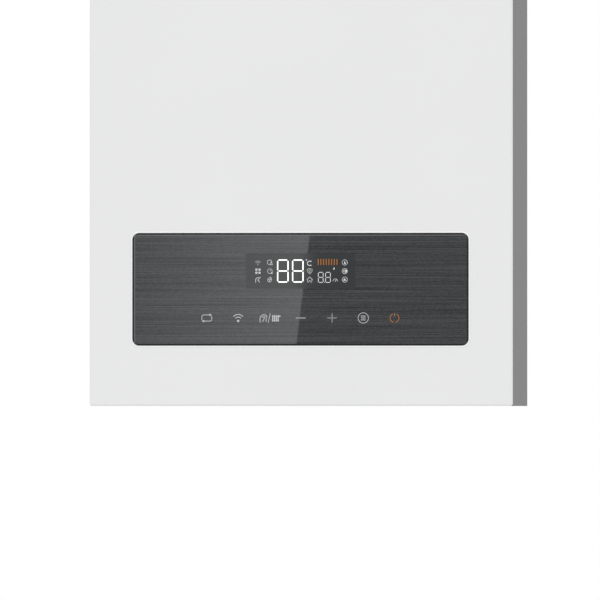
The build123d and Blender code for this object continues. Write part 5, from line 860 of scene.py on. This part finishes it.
def lid_screws():
    """Screws up both sides of the chamber's lid and in the middle of its lower and upper edges."""
    low, high = corners_of("lid_screws")
    seat = low.y + HEAD_HEIGHT_MM
    side = high.x - SCREW_HEAD_MM
    bottom, top = low.z + SCREW_HEAD_MM, high.z - SCREW_HEAD_MM
    places = []
    for k in range(LID_SCREW_ROWS):
        z = bottom + (top - bottom) * k / (LID_SCREW_ROWS - 1)
        places += [(-side, seat, z), (side, seat, z)]
    places += [(x, seat, z) for x in (-side / 3, side / 3) for z in (bottom, top)]
    shapes = [pan_screw(place, 90, SCREW_HEAD_MM, LID_SHANK_MM, high.y - seat) for place in places]
    made = piece("lid_screw_set", *joined(shapes), MATERIALS["zinc_screws"], "burner_lid", "zinc_screws")
    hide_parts("lid_screws")


def cover_screws():
    """Captive screws under the cover's tabs, each with its nut."""
    low, high = corners_of("cover_screws")
    y, seat = (low.y + high.y) / 2, low.z + HEAD_HEIGHT_MM
    nut_low, nut_high, bore = high.z - NUT_HEIGHT_MM, high.z - NUT_PLAY_MM, COVER_SHANK_MM - NUT_BITE_MM
    inset = NUT_FLATS_MM / math.sqrt(3)
    shapes = []
    for x in (low.x + inset, high.x - inset):
        shapes.append(pan_screw((x, y, seat), 180, SCREW_HEAD_MM, COVER_SHANK_MM, high.z - seat))
        shapes.append(chamfered_nut(x, y, nut_low, nut_high, NUT_FLATS_MM / 2, bore, 48))
    made = piece("cover_screw_set", *joined(shapes), MATERIALS["zinc_screws"], "cover", "zinc_screws")
    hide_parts("cover_screws")


def spring_clip(place):
    """Flanged sleeve with four sprung fingers that grip a stud."""
    thick, chamfer = CLIP_FLANGE_MM, CLIP_CHAMFER_MM
    flange = [(CLIP_BORE_MM, 0.0), (CLIP_MM, 0.0), (CLIP_MM, thick - chamfer)]
    flange += [(CLIP_MM - chamfer, thick), (CLIP_BORE_MM, thick)]
    shapes = [spun(0.0, 0.0, flange)]
    for middle in (0, 90, 180, 270):
        low, wide = middle - FINGER_HALF_WIDTH, 2 * FINGER_HALF_WIDTH
        turns = [math.radians(low + wide * k / FINGER_STEPS) for k in range(FINGER_STEPS + 1)]
        rings = []
        for outside, z in FINGER_LEVELS_MM:
            inside = outside - FINGER_THICK_MM
            edge = [(outside, turn) for turn in turns] + [(inside, turn) for turn in reversed(turns)]
            rings.append([(reach * math.cos(turn), reach * math.sin(turn), z) for reach, turn in edge])
        shapes.append(skin(rings, closed=False))
    move = Matrix.Translation(place) @ Matrix.Rotation(math.radians(-90), 4, "X")
    return [moved(shape, move) for shape in shapes]


def case_fixings():
    """Flue flange's screws and the clips for the cover's studs."""
    low, high = corners_of("case_fixings")
    (middle_x, middle_y), circle = FLUE_SCREWS_MM
    shapes = []
    for turn in map(math.radians, FLUE_SCREW_TURNS):
        x, y = middle_x + circle * math.cos(turn), middle_y + circle * math.sin(turn)
        place = (x, y, high.z - HEAD_HEIGHT_MM)
        shapes.append(pan_screw(place, 0, FLUE_HEAD_MM, FLUE_SHANK_MM, FLUE_LENGTH_MM))
    stud_low = low.z + CLIP_MM
    for x in (low.x + CLIP_MM, high.x - CLIP_MM):
        for z in (stud_low, CASE_HEIGHT_MM - stud_low):
            shapes += spring_clip((x, low.y, z))
    made = piece("fixing_set", *joined(shapes), MATERIALS["zinc_screws"], "chassis", "zinc_screws")
    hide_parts("case_fixings")


PIPE_Y_MM = -105.0
PIPE_ENDS_MM = ((-140.0, 13.2), (-72.0, 10.5), (-8.0, 13.2), (66.0, 10.5), (136.0, 13.2))  # x, radius
PIPE_PITCH_MM = 1.814
PIPE_THREAD_MM = 1.16
PIPE_WALL_MM = 2.5
PIPE_CHAMFER_MM = 0.4
TIP_UNDER_THREAD_MM = 0.3  # the tip is that much slimmer than the thread's root
THREAD_END_GAP_MM = 0.1
LOCK_NUT_MM = (36.0, 45.0)
NUT_REACH_MM = 3.0
COLLAR_HEIGHT_MM = 6.0


def pipe_end(x, radius, low, top):
    """Threaded pipe end with its collar, and the lock nut under the tray."""
    bore, collar = radius - PIPE_WALL_MM, radius + NUT_REACH_MM
    (nut_low, nut_high), seat, mouth = LOCK_NUT_MM, top - COLLAR_HEIGHT_MM, low + PIPE_CHAMFER_MM
    stations = [(bore + PIPE_CHAMFER_MM, low), (radius - PIPE_THREAD_MM - TIP_UNDER_THREAD_MM, low)]
    stations += threaded(mouth, nut_low, radius, PIPE_PITCH_MM, PIPE_THREAD_MM)
    stations += [(radius, nut_low + THREAD_END_GAP_MM), (radius, seat), (collar, seat), (collar, top)]
    stations += [(bore, top), (bore, mouth)]
    nut = chamfered_nut(x, PIPE_Y_MM, nut_low, nut_high, collar, radius - NUT_PLAY_MM)
    return [spun(x, PIPE_Y_MM, stations, 56), nut]


def pipe_ends():
    """Row of pipe ends under the casing."""
    low, high = corners_of("pipe_connections")
    shapes = [shape for x, radius in PIPE_ENDS_MM for shape in pipe_end(x, radius, low.z, high.z)]
    made = piece("pipe_ends", *joined(shapes), MATERIALS["brass"], "chassis", "brass")
    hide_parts("pipe_connections")


# ---------------------------------------------------------------- stage, light and camera
SEEN_RAYS = ("Is Camera Ray", "Is Glossy Ray", "Is Transmission Ray")
WHITE_LIGHT = (1.0, 1.0, 1.0, 1.0)
DAYLIGHT = 0.88
FLOOR_DROP = 0.9
FLOOR_HALF = 30.0
FLOOR_COLOR = (0.9, 0.9, 0.9, 1.0)
FLOOR_LIFT = 0.12  # glow that only the eye and gloss see, so the floor meets the white distance


def seen_ray(nodes, links):
    """1 for the kinds of ray that show the distance, otherwise 0."""
    path = nodes.new("ShaderNodeLightPath")
    total, *others = [path.outputs[kind] for kind in SEEN_RAYS]
    for other in others:
        add = nodes.new("ShaderNodeMath")
        add.operation, add.use_clamp = "ADD", True
        links.new(total, add.inputs[0])
        links.new(other, add.inputs[1])
        total = add.outputs[0]
    return total


def mixed(nodes, links, factor, first, second):
    """Two shaders mixed, all of the second where the factor is 1."""
    mix = nodes.new("ShaderNodeMixShader")
    for place, source in enumerate((factor, first.outputs[0], second.outputs[0])):
        links.new(source, mix.inputs[place])
    return mix.outputs[0]


def make_world():
    """White to the eye, to gloss and through glass; a little less as light on the object."""
    world = bpy.data.worlds.new("studio")
    scene.world = world
    world.use_nodes = True
    nodes, links = world.node_tree.nodes, world.node_tree.links
    light, seen = nodes["Background"], nodes.new("ShaderNodeBackground")
    for background, strength in ((light, DAYLIGHT), (seen, 1.0)):
        background.inputs["Color"].default_value = WHITE_LIGHT
        background.inputs["Strength"].default_value = strength
    surface = mixed(nodes, links, seen_ray(nodes, links), light, seen)
    links.new(surface, nodes["World Output"].inputs["Surface"])


def stage_sheet(name, corners, material):
    """Four-cornered sheet that belongs to the stage."""
    mesh = bpy.data.meshes.new(name)
    mesh.from_pydata(corners, [], [[0, 1, 2, 3]])
    mesh.materials.append(material)
    sheet = add_object(name, mesh)
    return sheet


def make_floor():
    """Pale floor well below the boiler, seen only from above."""
    material = bpy.data.materials.new("floor")
    material.use_nodes = True
    nodes, links = material.node_tree.nodes, material.node_tree.links
    shader = nodes["Principled BSDF"]
    shader.inputs["Base Color"].default_value = FLOOR_COLOR
    shader.inputs["Roughness"].default_value = 1.0
    shader.inputs["Specular IOR Level"].default_value = 0.0
    shader.inputs["Emission Color"].default_value = WHITE_LIGHT
    lift = nodes.new("ShaderNodeMath")
    lift.operation = "MULTIPLY"
    lift.inputs[1].default_value = FLOOR_LIFT
    links.new(seen_ray(nodes, links), lift.inputs[0])
    links.new(lift.outputs[0], shader.inputs["Emission Strength"])
    clear = nodes.new("ShaderNodeBsdfTransparent")
    below = nodes.new("ShaderNodeNewGeometry").outputs["Backfacing"]
    surface = mixed(nodes, links, below, shader, clear)
    links.new(surface, nodes["Material Output"].inputs["Surface"])
    corners = [(x * FLOOR_HALF, y * FLOOR_HALF, 0.0) for x, y in ((-1, -1), (1, -1), (1, 1), (-1, 1))]
    stage_sheet("floor", corners, material).location.z = -FLOOR_DROP


VIEW_AZIMUTH = math.radians(3.55)
VIEW_DISTANCE, VIEW_END = 17.0, 100.0
PIXEL = 0.9931 * MM  # on the plane of the front cover
FRAME_PIXELS = 600
FRONT_CENTRE_PIXEL = 300.45
LOWER_EDGE_PIXEL = 406.0
SENSOR_MM = 36.0


def view_target():
    """Middle of the picture, on the plane of the front cover."""
    middle = FRAME_PIXELS / 2
    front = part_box("front_cover")[0].y
    return Vector(((middle - FRONT_CENTRE_PIXEL) * PIXEL, front, (LOWER_EDGE_PIXEL - middle) * PIXEL))


def view_place():
    """Camera's place: level with the casing's lower edge, turned a little to its right."""
    target = view_target()
    away = Vector((math.sin(VIEW_AZIMUTH), -math.cos(VIEW_AZIMUTH), 0.0)) * VIEW_DISTANCE
    return Vector((target.x, target.y, 0.0)) + away


def make_camera():
    """Camera whose picture is FRAME_PIXELS wide at PIXEL each on the front cover."""
    data = bpy.data.cameras.new("camera")
    data.sensor_width = SENSOR_MM
    data.lens = SENSOR_MM * VIEW_DISTANCE / (FRAME_PIXELS * PIXEL)
    data.clip_end = VIEW_END
    camera = add_object("camera", data)
    camera.location = view_place()
    camera.rotation_euler = (view_target() - camera.location).to_track_quat("-Z", "Y").to_euler()
    scene.camera = camera


CARD_DISTANCE = 2.0
CARD_EDGE_MM = ((-4.0, 60.6), (9.4, 170.9))  # where the reflected edge crosses the glass, (x, z)
CARD_MARGIN_MM = 60.0  # card beyond the glass
CARD_GLOW = (1.7, 3.25)  # at the glass's left edge and at its middle


def seen_in_glass(x, z):
    """Point of the card's plane that the camera sees mirrored at (x, z) of the glass, in mm."""
    eye, face = view_place(), window_face * MM
    onward = CARD_DISTANCE / (face - eye.y)
    return x * MM + (x * MM - eye.x) * onward, face - CARD_DISTANCE, z * MM + (z * MM - eye.z) * onward


def make_card():
    """Bright studio card that only gloss sees; its slanted edge crosses the glass's reflection."""
    material = bpy.data.materials.new("card")
    material.use_nodes = True
    nodes, links = material.node_tree.nodes, material.node_tree.links
    nodes.remove(nodes["Principled BSDF"])
    glow = nodes.new("ShaderNodeEmission")
    split = nodes.new("ShaderNodeSeparateXYZ")
    ramp = nodes.new("ShaderNodeMapRange")
    links.new(nodes.new("ShaderNodeTexCoord").outputs["Object"], split.inputs[0])
    links.new(split.outputs["X"], ramp.inputs["Value"])
    edge, middle = seen_in_glass(glass_low.x, 0)[0], seen_in_glass(0, 0)[0]
    for socket, value in zip(("From Min", "From Max", "To Min", "To Max"), (edge, middle, *CARD_GLOW)):
        ramp.inputs[socket].default_value = value
    links.new(ramp.outputs["Result"], glow.inputs["Strength"])
    links.new(glow.outputs[0], nodes["Material Output"].inputs["Surface"])
    (x0, z0), (x1, z1) = CARD_EDGE_MM
    bottom, top = glass_low.z - CARD_MARGIN_MM, glass_high.z + CARD_MARGIN_MM
    side = glass_low.x - CARD_MARGIN_MM
    corners = [seen_in_glass(x0 + (x1 - x0) * (z - z0) / (z1 - z0), z) for z in (bottom, top)]
    corners += [seen_in_glass(side, z) for z in (top, bottom)]
    card = stage_sheet("card", corners, material)
    card.visible_camera = card.visible_diffuse = False
    card.visible_shadow = card.visible_transmission = False


LAMPS = {  # name: where it shines from, its width in degrees and its strength
    "key": ((-1.6, -3.0, 2.5), 28.0, 0.37),
    "fill": ((2.9, -2.4, 0.3), 24.0, 0.22),
}


def make_lamp(name, come_from, width, strength):
    """Far soft lamp that lights the whole scene evenly from one direction."""
    data = bpy.data.lights.new(name, "SUN")
    data.angle, data.energy = math.radians(width), strength
    lamp = add_object(name, data)
    lamp.rotation_euler = Vector(come_from).to_track_quat("Z", "Y").to_euler()


dress_nodes()
touch_panel()
display()
keys()
lid_screws()
cover_screws()
case_fixings()
pipe_ends()
make_world()
make_floor()
make_card()
for lamp_name, lamp_values in LAMPS.items():
    make_lamp(lamp_name, *lamp_values)
make_camera()
scene.view_settings.view_transform = "Standard"
